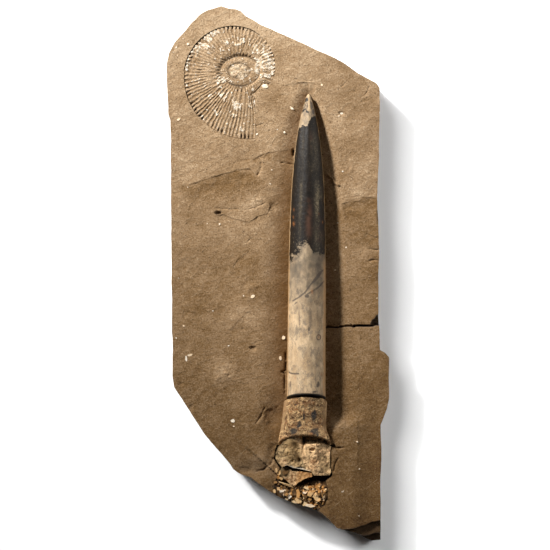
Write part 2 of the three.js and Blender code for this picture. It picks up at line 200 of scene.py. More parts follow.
def smoothFaces(mesh, isSmooth):
    mesh.polygons.foreach_set("use_smooth", np.full(len(mesh.polygons), isSmooth))


def pointsOf(piece):
    places = np.empty(len(piece.data.vertices) * 3)
    piece.data.vertices.foreach_get("co", places)
    return places.reshape(-1, 3) / mm


def movePoints(piece, points):
    piece.data.vertices.foreach_set("co", (points * mm).ravel())
    piece.data.update()


def paintPoints(piece, **masks):
    for label, values in masks.items():
        layer = piece.data.attributes.new(label, "FLOAT", "POINT")
        layer.data.foreach_set("value", np.broadcast_to(values, len(piece.data.vertices)).astype(np.float32))


def dress(piece, material, slotName, *nodes):
    piece.data.materials.clear()
    piece.data.materials.append(material)
    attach(piece, "root")
    if nodes:
        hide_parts(*nodes)
    print(piece.name, "made:", len(piece.data.polygons), "faces")


# Closed plate: a face at heightAt over an outline, side rings down to a base, and a flat back.
# extra are points that the face has besides its grid, and clear removes grid points near them.
def makePlate(name, edge, grid, heightAt, base, rings, insetAt, extra=(), clear=None):
    after = np.roll(edge, -1, axis=0)
    if (edge[:, 0] * after[:, 1] - edge[:, 1] * after[:, 0]).sum() < 0:    # clockwise
        edge = edge[::-1]
    inward = sideways(edge, loop=True)
    inward = sum(np.roll(inward, shift, axis=0) for shift in range(-5, 6))    # eased round the corners
    inward = inward / np.hypot(*inward.T)[:, None]
    low, high = edge.min(axis=0), edge.max(axis=0)
    across, up = np.meshgrid(np.arange(low[0], high[0], grid), np.arange(low[1], high[1], grid * 0.866))
    odd = np.arange(len(across))[:, None] % 2
    x = (across + odd * grid / 2 + 0.3 * grid * (hashed(across * 3.1, up * 1.7, 5) - 0.5)).ravel()
    y = (up + 0.3 * grid * (hashed(up * 2.3, across * 1.3, 6) - 0.5)).ravel()
    keep = isInside(x, y, edge + inward * 0.5 * grid)
    x, y = x[keep], y[keep]
    if clear is not None:
        keep = clear(x, y)
        x, y = x[keep], y[keep]
    flat = np.vstack([edge, np.column_stack([x, y]), *extra])
    count = len(edge)
    joined = delaunay_2d_cdt([Vector(p) for p in flat.tolist()], [], [list(range(count))], 1, 1e-4)
    flat = np.array([p[:] for p in joined[0]])
    faces = anticlockwise(flat, np.array([f for f in joined[2] if len(f) == 3]))
    firsts = {old: new for new, olds in enumerate(joined[3]) for old in olds}
    upper = np.array([firsts[k] for k in range(count)])
    top = np.column_stack([flat, heightAt(flat[:, 0], flat[:, 1])])
    rimHeight = top[upper, 2]
    points = [top]
    walls = []
    start = len(top)
    after = np.roll(np.arange(count), -1)
    for ring in range(1, rings + 1):
        share = ring / rings
        place = edge + inward * insetAt(np.arange(count) * grid, share)[:, None]
        points.append(np.column_stack([place, rimHeight + (base - rimHeight) * share]))
        lower = np.arange(start, start + count)
        walls.append(np.column_stack([upper, lower, lower[after]]))
        walls.append(np.column_stack([upper, lower[after], upper[after]]))
        upper = lower
        start += count
    under = np.array(tessellate_polygon([[Vector((p[0], p[1], 0)) for p in place.tolist()]]))
    under = anticlockwise(place, under)[:, ::-1] + start - count
    return makePiece(name, np.vstack(points), np.vstack([faces, *walls, under]))


# Node helpers, for materials and geometry alike.
# A wire is a node's outlet. Sums and products written with it become Math nodes.

class Wire:
    def __init__(self, socket):
        self.socket = socket
        self.tree = socket.id_data


for symbol, kind in (("add", "ADD"), ("sub", "SUBTRACT"), ("mul", "MULTIPLY"), ("truediv", "DIVIDE"),
                     ("pow", "POWER")):
    setattr(Wire, "__" + symbol + "__", lambda one, two, kind=kind: calc(kind, one, two))
    setattr(Wire, "__r" + symbol + "__", lambda one, two, kind=kind: calc(kind, two, one))


def treeOf(*values):
    return next(value.tree for value in values if isinstance(value, Wire))


def feed(node, inputs):
    for key, value in dict(inputs).items():
        if isinstance(value, Wire):
            node.id_data.links.new(value.socket, node.inputs[key])
        else:
            node.inputs[key].default_value = value


def addNode(tree, kind, inputs=(), outlet=0, **settings):
    node = tree.nodes.new(kind)
    for label, value in settings.items():
        setattr(node, label, value)
    feed(node, inputs)
    return Wire(node.outputs[outlet])


def calc(operation, *values):
    return addNode(treeOf(*values), "ShaderNodeMath", enumerate(values), operation=operation)


def swing(value, amount):
    # turns 0 to 1 into a swing of this amount round 0
    return calc("MULTIPLY_ADD", value, amount, -amount / 2)


def remap(value, low, high, start=0.0, end=1.0):
    sizes = {"Value": value, "From Min": low, "From Max": high, "To Min": start, "To Max": end}
    return addNode(value.tree, "ShaderNodeMapRange", sizes)


def vectorCalc(operation, *values, **sizes):
    inputs = {**dict(enumerate(values)), **sizes}
    return addNode(treeOf(*values), "ShaderNodeVectorMath", inputs, operation=operation)


def vector(x=0.0, y=0.0, z=0.0):
    return addNode(treeOf(x, y, z), "ShaderNodeCombineXYZ", enumerate((x, y, z)))


def axes(point):
    node = addNode(point.tree, "ShaderNodeSeparateXYZ", {0: point}).socket.node
    return [Wire(socket) for socket in node.outputs]


def noise(where, size, detail=4.0, rough=0.6, distort=0.0):
    # size is the width of a lump in millimetres
    sizes = {"Vector": where, "Scale": 1 / size, "Detail": detail, "Roughness": rough, "Distortion": distort}
    return addNode(where.tree, "ShaderNodeTexNoise", sizes)


def spots(where, size, detail, rough, low, high, most=1.0):
    return remap(noise(where, size, detail, rough), low, high, 0.0, most)


def stretched(where, x, y, z, turn=0.0):
    sizes = {"Vector": where, "Scale": (1 / x, 1 / y, 1 / z), "Rotation": (0, 0, math.radians(turn))}
    return addNode(where.tree, "ShaderNodeMapping", sizes, vector_type="TEXTURE")


def masks(tree, *labels):
    return [addNode(tree, "ShaderNodeAttribute", outlet="Fac", attribute_name=label) for label in labels]


def colour(red, green, blue):
    # linear colour from the 0 to 255 values of a paint card
    card = [v / 255 for v in (red, green, blue)]
    return tuple(v / 12.92 if v < 0.04045 else ((v + 0.055) / 1.055) ** 2.4 for v in card) + (1.0,)


def mixed(share, first, second):
    first, second = (c if isinstance(c, Wire) else colour(*c) for c in (first, second))
    return addNode(treeOf(share, first, second), "ShaderNodeMix", {0: share, 6: first, 7: second}, 2,
                   data_type="RGBA")


def layered(base, *coats):
    # coats are laid over the base one by one, each with its share
    for share, shade in coats:
        base = mixed(share, base, shade)
    return base


def rampOf(value, stages):
    ramp = addNode(value.tree, "ShaderNodeValToRGB", {0: value})
    stops = ramp.socket.node.color_ramp.elements
    stops[0].position, stops[0].color = stages[0][0], colour(*stages[0][1])
    stops[1].position, stops[1].color = stages[-1][0], colour(*stages[-1][1])
    for place, shade in stages[1:-1]:
        stops.new(place).color = colour(*shade)
    return ramp


def startMaterial(name):
    material = bpy.data.materials.new(name)
    material.use_nodes = True
    tree = material.node_tree
    place = addNode(tree, "ShaderNodeTexCoord", outlet="Object")
    return material, tree, vectorCalc("SCALE", place, Scale=1000.0)


def endMaterial(material, base, roughness, specular, relief=None, depth=0.0):
    # depth is the height of the relief in millimetres
    shader = material.node_tree.nodes["Principled BSDF"]
    feed(shader, {"Base Color": base, "Roughness": roughness, "Specular IOR Level": specular})
    if relief:
        sizes = {"Height": relief, "Distance": depth * mm, "Strength": 1.0}
        feed(shader, {"Normal": addNode(relief.tree, "ShaderNodeBump", sizes)})
    return material


def newTree(name, sizes):
    tree = bpy.data.node_groups.new(name, "GeometryNodeTree")
    tree.interface.new_socket("Geometry", in_out="INPUT", socket_type="NodeSocketGeometry")
    for label, value in sizes.items():
        if not isinstance(value, list):
            kind = "NodeSocketInt" if isinstance(value, int) else "NodeSocketFloat"
            tree.interface.new_socket(label, in_out="INPUT", socket_type=kind)
    tree.interface.new_socket("Geometry", in_out="OUTPUT", socket_type="NodeSocketGeometry")
    return tree, {socket.name: Wire(socket) for socket in tree.nodes.new("NodeGroupInput").outputs}


def flatGrid(tree, columns, rows):
    sizes = {"Vertices X": columns, "Vertices Y": rows, "Size X": 1.0, "Size Y": 1.0}
    along, across, up = axes(addNode(tree, "GeometryNodeInputPosition"))
    return addNode(tree, "GeometryNodeMeshGrid", sizes), along + 0.5, across + 0.5


def stored(geometry, label, value, domain="POINT"):
    sizes = {"Geometry": geometry, "Name": label, "Value": value}
    return addNode(geometry.tree, "GeometryNodeStoreNamedAttribute", sizes, domain=domain, data_type="FLOAT")


def closedAt(grid, point, distance):
    placed = addNode(grid.tree, "GeometryNodeSetPosition", {"Geometry": grid, "Position": point})
    return addNode(grid.tree, "GeometryNodeMergeByDistance", {"Geometry": placed, "Distance": distance})


def endTree(geometry, material):
    tree = geometry.tree
    real = addNode(tree, "GeometryNodeRealizeInstances", {0: geometry})
    dressed = addNode(tree, "GeometryNodeSetMaterial", {"Geometry": real, "Material": material})
    feed(tree.nodes.new("NodeGroupOutput"), {"Geometry": dressed})
    return tree


def runTree(name, tree, sizes, mesh=None):
    # sets the named sizes by their sockets, evaluates the tree and keeps a plain mesh
    carrier = linked(name + "Maker", mesh or bpy.data.meshes.new(name + "Maker"))
    modifier = carrier.modifiers.new("shape", "NODES")
    modifier.node_group = tree
    for socket in tree.interface.items_tree:
        if socket.in_out == "INPUT" and socket.name in sizes:
            modifier[socket.identifier] = sizes[socket.name]
    bpy.context.view_layer.update()
    ready = carrier.evaluated_get(bpy.context.evaluated_depsgraph_get())
    plain = bpy.data.meshes.new_from_object(ready)
    plain.name = name
    bpy.data.objects.remove(carrier)
    piece = linked(name, plain)
    points = pointsOf(piece) * mm    # the tree works in millimetres
    movePoints(piece, points)
    return piece, points


# Belemnite guard: x runs across, y along the slab and t down from the tip

guard = {
    "length": 182.8,
    "tipX": 18.5,
    "tipY": 108.0,
    "lean": 0.47,            # degrees that the axis turns from +Y
    "dip": 0.63,             # degrees that it falls towards the tip
    "axisHeight": 23.8,      # at the broken end
    "radius": 11.1,
    "flare": 0.5,
    "taper": 28,
    "bluntRadius": 0.9,
    "bluntStart": 0.8,
    "bluntEnd": 12,
    "furrowShare": 0.25,
    "furrowAngle": 0.55,     # radians from the top ridge
    "furrowWidth": 0.3,
    "furrowReach": 30,
    "breakSlant": 0.25,
    "rings": 380,
    "sides": 132,
    "notches": [    # girth, y, reach round, reach along, depth
        (-15.5, -59, 3, 1.1, 0.5), (14, -64, 2, 1.6, 0.35),
    ],
    "darkEdge": [    # x, y where the dark skin ends below
        (6.2, 6.2), (8, 9), (11.6, 13.4), (15.2, 17.2), (17.6, 19.6), (20, 15.4), (23.6, 12.1),
        (26.6, 12.6), (28.4, 13.8),
    ],
    "darkTop": [    # share of the half width, y where it ends above
        (-0.9, 88), (-0.3, 88.5), (0.05, 91), (0.3, 94), (0.9, 95),
    ],
    "bands": [    # painted highlights, light streaks on the dark half: share of the half width, width, y where it starts, is full, ebbs and ends, strength
        (-0.42, 0.09, 12, 30, 84, 92, 0.5), (0.6, 0.2, 8, 16, 46, 62, 1.2), (0.5, 0.3, 56, 66, 78, 92, 0.5),
    ],
    "brown": [    # x, y, reach in x and in y, strength
        (18.6, 34, 1.8, 13, 1.2), (20, 80, 1.2, 5, 0.5),
    ],
    "rust": [    # x, y, size
        (9.6, 38.5, 0.5), (9.5, 30, 0.8), (26.8, 31, 0.5), (20.5, -10.5, 0.9), (24.5, -37.5, 0.9),
        (9.3, 34, 0.5), (24.5, 36, 0.4), (10.3, -62, 0.7), (26, -60, 0.6),
    ],
    "stains": [    # grey and dark spots on the pale half: x, y, half width, half height, turn, strength
        (10.6, -17.5, 2.8, 0.7, 35, 0.8), (15, -12, 3.4, 0.7, 30, 0.8), (22.5, -3.5, 5.6, 0.8, 50, 0.85),
        (17.5, -13, 1.6, 1.4, 0, 0.9), (22, -9.5, 5, 0.7, 35, 0.6), (12.8, -25.5, 0.8, 7, 3, 0.55),
        (19.2, -26, 1.6, 7, 0, 0.5), (23, -17, 2.2, 2, 0, 0.45), (19.5, -44.5, 1.4, 1.6, 0, 0.55),
        (10, -55, 1.5, 1.2, 0, 0.5), (9.5, -59.3, 2.6, 0.5, 4, 0.85), (24, -66, 1.2, 2.4, -14, 0.8),
        (21.8, -70.3, 1.9, 0.9, 10, 0.8), (7.6, -66, 0.8, 2.6, 0, 0.6), (11, 2, 3, 5, 20, 0.35),
        (24, 3, 2.4, 5, 0, 0.5), (14, -40, 1, 6, 0, 0.25), (22, -33, 1.1, 5, 0, 0.3),
        (26.5, -22, 0.7, 9, 0, 0.45), (20, -57, 1.4, 7, 0, 0.2), (9, -33, 0.6, 6, 0, 0.4),
        (10.5, 9, 3, 1.5, 30, 0.6), (19.9, 101, 0.9, 3.4, 8, 0.9), (21.2, 97, 1, 2, 0, 0.85),
        (16.6, 95, 2.4, 1.2, 20, 0.45), (12, -10, 1.6, 3.4, 0, 0.5), (17, -2, 1.4, 3, 0, 0.4),
        (18.6, -33, 0.9, 1.2, 0, 0.7),
    ],
    "veins": [    # dark veins that cross it
        [(9, -16), (13, -13.6), (16.4, -10.8), (20.6, -5), (24.6, 0.4), (27.6, 2.6)],
        [(16.6, -13.4), (18.2, -11.6), (21.4, -9.8), (24.4, -7.8), (27.6, -4.4)],
        [(6.8, -58.8), (9.4, -59.6), (12.4, -59.4)],
    ],
}


def guardRadius(t):
    rod = (guard["radius"] + guard["flare"] * t / guard["length"]) * (1 - np.exp(-t / guard["taper"]))
    blunt = guard["bluntRadius"] * (1 - np.exp(-t / guard["bluntStart"])) * np.exp(-t / guard["bluntEnd"])
    return rod + blunt


def guardAxis(y):
    # x and height of the axis at a place along the slab
    t = guard["tipY"] - y
    fall = guard["length"] * math.sin(math.radians(guard["dip"]))
    x = guard["tipX"] - t * math.tan(math.radians(guard["lean"]))
    return x, guard["axisHeight"] - fall + t * math.tan(math.radians(guard["dip"]))


def besideGuard(x, y):
    # how far down from the tip, whether left of the guard, and how far from its side
    t = np.clip(guard["tipY"] - y, 0, guard["length"])
    axisX = guardAxis(y)[0]
    return t, x < axisX, np.abs(x - axisX) - guardRadius(t)


# A rod wrapped from a flat grid: its length runs along x and its girth along y.
def guardTree(material):
    tree, size = newTree("guardShape", guard)
    grid, along, around = flatGrid(tree, size["rings"], size["sides"])
    t = calc("MINIMUM", along * 1.003, 1.0) ** 1.3 * size["length"]
    angle = around * math.tau

    def faded(value, reach):
        return calc("EXPONENT", value / reach * -1.0)

    rod = (t / size["length"] * size["flare"] + size["radius"]) * (1.0 - faded(t, size["taper"]))
    blunt = (1.0 - faded(t, size["bluntStart"])) * faded(t, size["bluntEnd"])
    radius = blunt * size["bluntRadius"] + rod
    fromTop = calc("ABSOLUTE", calc("PINGPONG", angle, math.pi))
    fromFurrow = calc("ABSOLUTE", (fromTop - size["furrowAngle"]) / size["furrowWidth"])
    furrow = faded(fromFurrow ** 2.0, 1.0) * faded(t, size["furrowReach"])
    girth = radius * (1.0 - furrow * size["furrowShare"] * (radius / size["radius"]))
    girth = girth * (1.0 - calc("GREATER_THAN", along, 0.9995))    # closed at the broken end
    up = girth * calc("COSINE", angle)
    nearBreak = remap(t, size["length"] - 25.0, size["length"])
    point = vector(girth * calc("SINE", angle), up * size["breakSlant"] * nearBreak - t, up)
    for axis, label in (("X_AXIS", "dip"), ("Z_AXIS", "lean")):
        turn = {"Vector": point, "Angle": size[label] * (-math.pi / 180)}
        point = addNode(tree, "ShaderNodeVectorRotate", turn, rotation_type=axis)
    fall = calc("SINE", size["dip"] * (math.pi / 180)) * size["length"]
    tip = vector(size["tipX"], size["tipY"], size["axisHeight"] - fall)
    return endTree(closedAt(grid, vectorCalc("ADD", point, tip), 0.0005), material)


# Shale slab

slab = {
    "faceHeight": 20,
    "grid": 0.74,
    "rings": 18,
    "troughDepth": 2.5,
    "pocketFloor": 15,
    "shellFloor": 15.9,
    "highest": 22.4,
    "seatGap": 0.3,
    "bankHeight": 2.4,
    "beds": 8.99,
    "fullReach": 50,
    "fullDepth": 3,
    "edgeWear": 0.5,
    "outline": [    # clockwise from the highest corner
        (-34, 161), (-29, 159.5), (-24.5, 159), (-22, 158), (-19, 155), (-13.5, 152), (-9.5, 149.5),
        (-4.5, 147.5), (2, 144.5), (7.5, 142), (19.5, 136.5), (30, 132), (34.5, 130), (41, 126), (48, 121),
        (53.5, 118), (59.5, 114.5), (61.5, 111.5), (61.5, 104.5), (61, 74.5), (60, 44.5), (61, 14.5),
        (60.5, -6), (61, -29), (61.5, -45.5), (64.5, -47), (67, -50), (67, -75.5), (66, -81), (64, -86),
        (62, -90.5), (62.5, -105.5), (62, -123.5), (62, -160), (56.5, -160.5), (53, -159), (46.5, -155.5),
        (40.5, -154), (35, -152.5), (32, -149), (26.5, -144.5), (20.5, -140.5), (13.5, -139), (6, -137),
        (-1.5, -133), (-9.5, -127.5), (-16.5, -122.5), (-22.5, -120.5), (-27, -117.5), (-29, -114),
        (-34, -108), (-40.5, -101), (-46.5, -92.5), (-52.5, -83), (-57.5, -75.5), (-61, -70.5),
        (-62.5, -68), (-63.5, -61), (-63.5, -39.5), (-64, -3.5), (-64, 20.5), (-64.5, 56.5), (-64.5, 92),
        (-66, 95.5), (-66.5, 104.5), (-67, 116.5), (-67, 126), (-65.5, 132.5), (-62, 139), (-58, 143.5),
        (-54.5, 147.5), (-52, 150.5), (-49, 153.5), (-46.5, 156.5), (-43, 158.5), (-39, 159.5),
    ],
    "pocket": [
        (8, -95.2), (2.4, -99.4), (-0.6, -102.6), (-2, -107), (-2.3, -110.8), (-0.6, -114), (0.9, -116),
        (1, -121.4), (-1, -122.8), (-2.6, -129), (-4, -138), (20, -148), (24.8, -141.5), (28.3, -138.4),
        (29.9, -134), (29.9, -127.6), (28.6, -123.6), (32.4, -121.2), (32.8, -118.8), (31.7, -115),
        (31.7, -107), (33, -102.6), (30.6, -99.6), (24, -95.4),
    ],
    "ledges": [    # drop, reach, painted shade on the lower side and line; the face stands higher on the line's left, or right below 0
        (0.5, 22, 0.13, [(-62, 51.5), (-58.5, 53), (-50, 54.5), (-40, 58), (-29.5, 61), (-22, 63.5),
         (-16.5, 63.5), (-12.5, 59)]),
        (0.45, 16, 0.14, [(-10, 67), (-16.5, 68), (-12.5, 70.5), (-5.5, 73), (4, 74.5), (11, 76)]),
        (0.7, 15, 0.16, [(38, 42), (41, 43.5), (48.5, 44), (51, 46.5), (59.5, 46)]),
        (0.7, 6, 0.08, [(-38, 35.5), (-33, 36), (-27, 33.5), (-17.5, 31.5), (-12.5, 34.5), (-6.5, 36.5),
         (-5, 40.5), (-6, 44)]),
        (0.5, 5, 0, [(4.5, 113.5), (11, 114.5), (15, 115.5), (19.5, 115), (24, 113.5)]),
        (2.4, 90, 0, [(33, -149.4), (36.4, -152.4), (40.5, -152.8), (44, -152.8), (50.5, -151),
         (56.5, -148.5), (62.5, -147.5)]),
        (2.6, 90, 0, [(44, -156.5), (48, -156), (52, -157), (62, -155)]),
        (-0.9, 7, 0, [(-13, -119.5), (-8, -118), (-2, -114), (-1.5, -106.5), (0, -102)]),
        (0.6, 5, 0, [(53, 24.8), (58.5, 22.5), (62, 23)]),
        (-0.35, 6, 0, [(-17, 15), (-23.5, 9.5), (-27.5, 4)]),
        (0.3, 9, 0, [(-31.5, -36.5), (-24, -28), (-16.5, -20.5)]),
        (-0.12, 8, 0, [(46.5, -78), (48, -89.5), (48.5, -100), (48, -117.5)]),
        (0.22, 12, 0, [(-60, 10), (-40, 4), (-30, 6), (-12, -4)]),
        (0.2, 10, 0, [(-62, -20), (-45, -24), (-30, -18), (-10, -26)]),
        (0.3, 9, 0, [(-46, 101), (-40, 92), (-30, 86), (-14, 81)]),
        (0.5, 4, 0, [(38, 96), (43.5, 94.5), (47, 97)]),
    ],
    "cracks": [    # width, depth and line; a ridge where the depth is below 0
        (0.5, 3.9, [(27, -32), (36.5, -32), (39.5, -31.4), (46, -31.5)]),
        (0.9, 6, [(45.5, -31.5), (47.5, -31), (56, -31), (62, -29.8)]),
        (0.9, 2.4, [(5, -45), (4.7, -58), (2.6, -58.6), (4.4, -60), (4.1, -74.6)]),
        (1.3, 1.7, [(-15, -118.8), (-9, -118), (-4, -114.5), (-1.9, -109)]),
        (1.3, -0.35, [(45.5, -81), (47.3, -88), (47.8, -100), (47.6, -117)]),
        (1.2, 1.1, [(-10, 67.5), (-10, 63), (-12.5, 58.5)]),
        (0.7, 0.5, [(-39, 39.5), (-32.5, 39), (-18, 38.5), (-9.5, 41.5), (-6, 44)]),
        (0.8, 0.9, [(-14, 23), (-19, 18.5)]),
        (0.9, 1, [(-7.5, -79.5), (-9.5, -84.5), (-12.5, -89), (-14, -90.5)]),
        (0.9, 1.6, [(31.5, -107), (31.5, -115.5), (33.5, -118.3), (34.6, -113), (37, -109),
         (39.5, -111.5)]),
        (0.9, 1.3, [(31.8, -102.5), (34, -104), (36, -104.4), (40.5, -104)]),
        (0.8, 0.8, [(1.5, 67), (5, 66.6), (9, 65.5)]), (0.7, 0.6, [(-16, 88.5), (-12, 89), (-8.5, 90)]),
        (0.6, 0.4, [(10, 118), (14, 117), (17.5, 116), (22, 115.5)]), (0.6, 0.4, [(38, 63), (43.5, 63.5)]),
        (0.7, 0.8, [(54.5, 15), (58, 14.6), (62, 14.5)]), (0.8, 0.9, [(54.5, 7.5), (57, 8.4), (62, 8)]),
        (0.6, 0.5, [(57.5, -67), (58, -73), (61, -79.5)]), (0.6, 0.5, [(-11.5, 149), (-12.5, 146)]),
        (0.6, 0.5, [(-2.5, 146), (-5, 142.5)]), (0.6, 0.4, [(49, 107), (52, 107), (54, 109.5), (55, 113)]),
        (0.6, 0.35, [(38, 112), (42, 116)]),
        (1.6, -1.1, [(28, 61), (31.5, 58), (34.5, 54.5), (37.5, 52.5)]),
        (0.8, 0.8, [(33, 58), (35.5, 54.8)]), (0.6, 0.4, [(-15.5, -42.5), (-12.5, -40.5), (-8.5, -40)]),
        (0.8, 0.4, [(-36, 33.5), (-32.5, 31.5)]), (0.6, 0.25, [(-61, 86.5), (-57, 81), (-52.5, 77.5)]),
        (0.7, -0.18, [(-62, -60), (-48, -56), (-30, -64), (-4, -60)]),
        (0.7, -0.16, [(-30, -84), (-24, -90), (-12, -92)]),
    ],
    "pits": [    # x, y, half width, half height, depth
        (-36, 36.6, 2.6, 1.1, 1.6), (9.3, 73, 0.9, 2.4, 2.2), (-5, 86, 0.8, 0.7, 0.8),
        (11, 117, 0.9, 0.6, 0.6), (-15, -44.8, 2.2, 1.5, 1.2), (-21, -33, 1.1, 0.8, 0.6),
        (57, 8.2, 1.8, 0.8, 0.4), (38, 96.3, 2, 1.4, 0.7), (-52, -80, 1.2, 2.4, 0.7),
        (-19.5, -117.5, 5, 2, 0.4), (-2, -86, 6, 7, 0.8), (33.6, -103, 1.2, 1, 1.4),
        (-58, -66, 1.2, 0.8, 0.5), (60.4, 34, 1.1, 4, 0.8), (60.3, -2, 0.9, 3, 0.7),
    ],
    "chip": [(66, -22.5), (61, -23.5), (56.5, -28), (55.5, -31), (66, -30.2)],
    "crumbs": [    # x, y, reach in x and in y, height
        (-12, 44, 5, 3, 0.45), (-4, 50, 6, 3.5, 0.4), (-33, -60, 5, 4, 0.8), (-15, -8, 6, 8, 0.5),
        (-30, -58, 3, 3, 0.4), (44, 60, 5, 8, 0.3), (37, -89, 5, 3, 0.4),
    ],
    "swells": [    # the same, for low hills and hollows
        (-3, -86, 7, 9, -1.2), (-14, -118, 10, 5, -1.8), (-33, -60, 8, 6, 0.7), (-25, -28, 12, 8, 0.6),
    ],
    "tones": [    # and for paler and darker ground
        (-33, -60, 9, 6, 0.2), (-24, -26, 14, 6, 0.15), (-20, 55, 30, 9, -0.15), (-24, -116, 14, 8, 0.2),
        (-14, 43, 5.5, 4.5, 0.22), (-4, 50, 6, 3, 0.18), (-60, 122, 9, 30, 0.1), (46, -110, 16, 30, 0.1),
        (46, 64, 10, 16, 0.12), (44, 50, 7, 5, 0.16), (37, -90, 6, 4, 0.2), (-33, -55, 5, 5, 0.1),
        (-9, -113, 8, 6, 0.2), (46, 44, 14, 8, 0.08), (46, 74, 14, 8, -0.1), (-4, 104, 7, 8, -0.14),
        (8, 134, 11, 8, -0.1), (-35, -28, 12, 10, -0.08), (-13, -115, 6, 5, 0.08), (54, -92, 10, 14, 0.06),
        (41, 92, 12, 8, 0.06), (44, 10, 12, 14, 0.12), (46, -45, 12, 14, 0.1),
    ],
}

collar = {
    "sections": [    # y, centre x, half width, half height, axis height
        (-76.7, 16.6, 12.9, 10.9, 23.7), (-82, 16.3, 13.1, 10.3, 23.4), (-89.5, 15.7, 13.3, 8.8, 22.9),
        (-94, 15.4, 13.9, 7.8, 22.7), (-99, 15.9, 15.4, 7.1, 22.6), (-102.6, 16.1, 16, 6.8, 22.6),
    ],
    "hollow": [
        (-84, 16.2, 3, 2, 23.2), (-92, 15.8, 9.5, 4.4, 22.8), (-99, 15.9, 12.9, 5, 22.6),
        (-102.6, 16.1, 14.2, 5.4, 22.6),
    ],
    "breakSlant": 0.3,
    "mouthSlant": 0.98,
    "sides": 150,
    "step": 0.42,
    "seatStart": -76,
    "seatEnd": -104,
    "stains": [    # x, y, half width, half height, turn
        (12.6, -90.6, 1.8, 2.4, -20), (9.2, -93.6, 2.4, 2, 30), (21.7, -85, 1.8, 3.8, 0),
        (21.8, -94.4, 3.2, 3, 0), (15.6, -84.5, 0.6, 2.8, 0), (10.8, -78, 1.2, 0.5, 20),
        (19, -79, 1.6, 0.4, 0),
    ],
    "rust": [    # x, y, reach in x and in y, strength
        (20, -95.5, 1, 0.8, 1), (14.5, -83, 1, 1, 0.5), (25.5, -88, 0.8, 4, 0.4),
    ],
}

ammonite = {
    "centreX": -23.2,
    "centreY": 121.8,
    "radius": 42,            # at the mouth
    "growth": 0.1346,        # natural log of the radius gained per radian
    "mouthAngle": -76,       # degrees
    "seamX": 11.8,           # half axes of the seam inside the last whorl
    "seamY": 8.7,
    "seamShift": 0.7,        # how far the seam lies towards the right
    "coreX": 6.6,            # half axes of the grainy heart inside the second whorl
    "coreY": 4.7,
    "ribSpacing": 2.4,
    "ribHeight": 0.24,
    "ribSweep": 18,          # degrees that a rib leans back on its way out, at the mouth
    "sweepFade": 0.42,       # radians of coil over which ribs straighten
    "face": 19.35,
    "base": 16.3,
    "sunk": 0.75,            # how much lower the second whorl lies
    "whorlRise": 0.7,
    "heartRise": 0.55,
    "columns": 841,
    "rows": 108,
    "coreRow": 0.12,         # shares of the rows where each zone ends, from the middle outwards
    "seamRow": 0.3,
    "rimRow": 0.93,
    "footRow": 0.95,
    "patches": [    # white shell left on it: x, y, half width, half height, strength
        (-8, 127.6, 6.6, 11, 0.75), (-46, 136.6, 9, 3.2, 0.7), (-54.6, 127, 1, 8.5, 0.85),
        (-25, 101.4, 3, 3, 1), (-26.6, 95, 2.2, 1.8, 0.8), (-32.4, 83, 3.2, 1.6, 0.9),
        (-34.8, 116.4, 4.4, 3.6, 0.9), (-12.4, 123.6, 1.6, 8, 0.8), (-30, 138.4, 2.6, 1.8, 0.6),
        (-19, 139.4, 5, 3, 0.5), (-15.4, 101.6, 3, 3.4, 0.6), (-8, 111.8, 1.8, 1.5, 1),
        (-38, 107, 5, 3, 0.45), (-36, 100, 4, 6, 0.35), (-42, 143, 6, 1.6, 0.6),
        (-51.4, 133.6, 1.8, 2.2, 0.9), (-54.6, 113.4, 0.8, 1.4, 0.9), (-22, 87, 5, 2.4, 0.35),
        (-24, 133, 4, 2, 0.35), (-48, 140, 3.4, 2, 0.6), (-5, 119, 2, 5, 0.6), (-40, 133, 8, 4, 0.35),
        (-24, 122, 34, 30, 0.2), (-28, 136, 22, 9, 0.28), (-50, 133.5, 3, 2.4, 0.85),
        (-46, 137.5, 3, 2.4, 0.9), (-42, 141, 3, 2.2, 0.85), (-38.5, 144, 3, 1.8, 0.8),
        (-53, 129.5, 1.6, 3, 0.85), (-26, 138, 6, 2, 0.6), (-14, 136, 3, 3, 0.6), (-3.4, 124, 1.2, 9, 0.75),
        (-9.5, 133, 4, 3.4, 0.75), (-34, 108.6, 2, 5, 0.75), (-36, 145, 9, 1.2, 0.6),
    ],
    "cream": [    # pale grains in the heart
        (-25.4, 122.2, 2.6, 2.6, 1), (-21.5, 119.6, 2.4, 1.1, 0.8),
    ],
}


def sectionAt(sections, y):
    table = np.array(sections)[::-1]
    return [np.interp(y, table[:, 0], table[:, k]) for k in (1, 2, 3, 4)]


def underFossil(x, y):
    # height of the fossil's underside, and how near its middle line, where it lies on the shale
    t = np.clip(guard["tipY"] - y, 0, guard["length"] + 3)
    start = collar["seatStart"]
    onCollar = (y <= start) & (y > collar["seatEnd"])
    half = np.where(y > start, guardRadius(t), 0)
    shapes = zip(sectionAt(collar["sections"], y), (guardAxis(y)[0], half, half, guardAxis(y)[1]))
    axisX, half, tall, axisZ = (np.where(onCollar, *pair) for pair in shapes)
    off = np.abs(x - axisX) / np.maximum(half, 1e-3)
    on = (off < 1) & (half > 0) & (y < guard["tipY"])
    return on, off, axisZ - tall * np.sqrt(np.clip(1 - off * off, 0, 1))


def ammoniteRadius(angle):
    # outer radius in a direction: the coil's back, then the straight edge of its mouth
    mouth = math.radians(ammonite["mouthAngle"])
    back = (mouth - angle) % math.tau
    coil = ammonite["radius"] * np.exp(-ammonite["growth"] * back)
    edge = ammonite["radius"] * math.cos(mouth) / np.maximum(np.cos(angle), 0.05)
    return np.where(back > 5.6, np.maximum(coil, np.minimum(edge, ammonite["radius"])), coil)


def buried(x, y):
    # 1 where shale lies over the start of the last whorl, between its mouth and its right side
    offX, offY = x - ammonite["centreX"], y - ammonite["centreY"]
    turned = np.degrees(np.arctan2(offY, offX)) + 5 * rolling(x, y, 4, 8)
    return between(turned, -62, -52, -32, -20) * smooth(np.hypot(offX, offY), 15, 18)


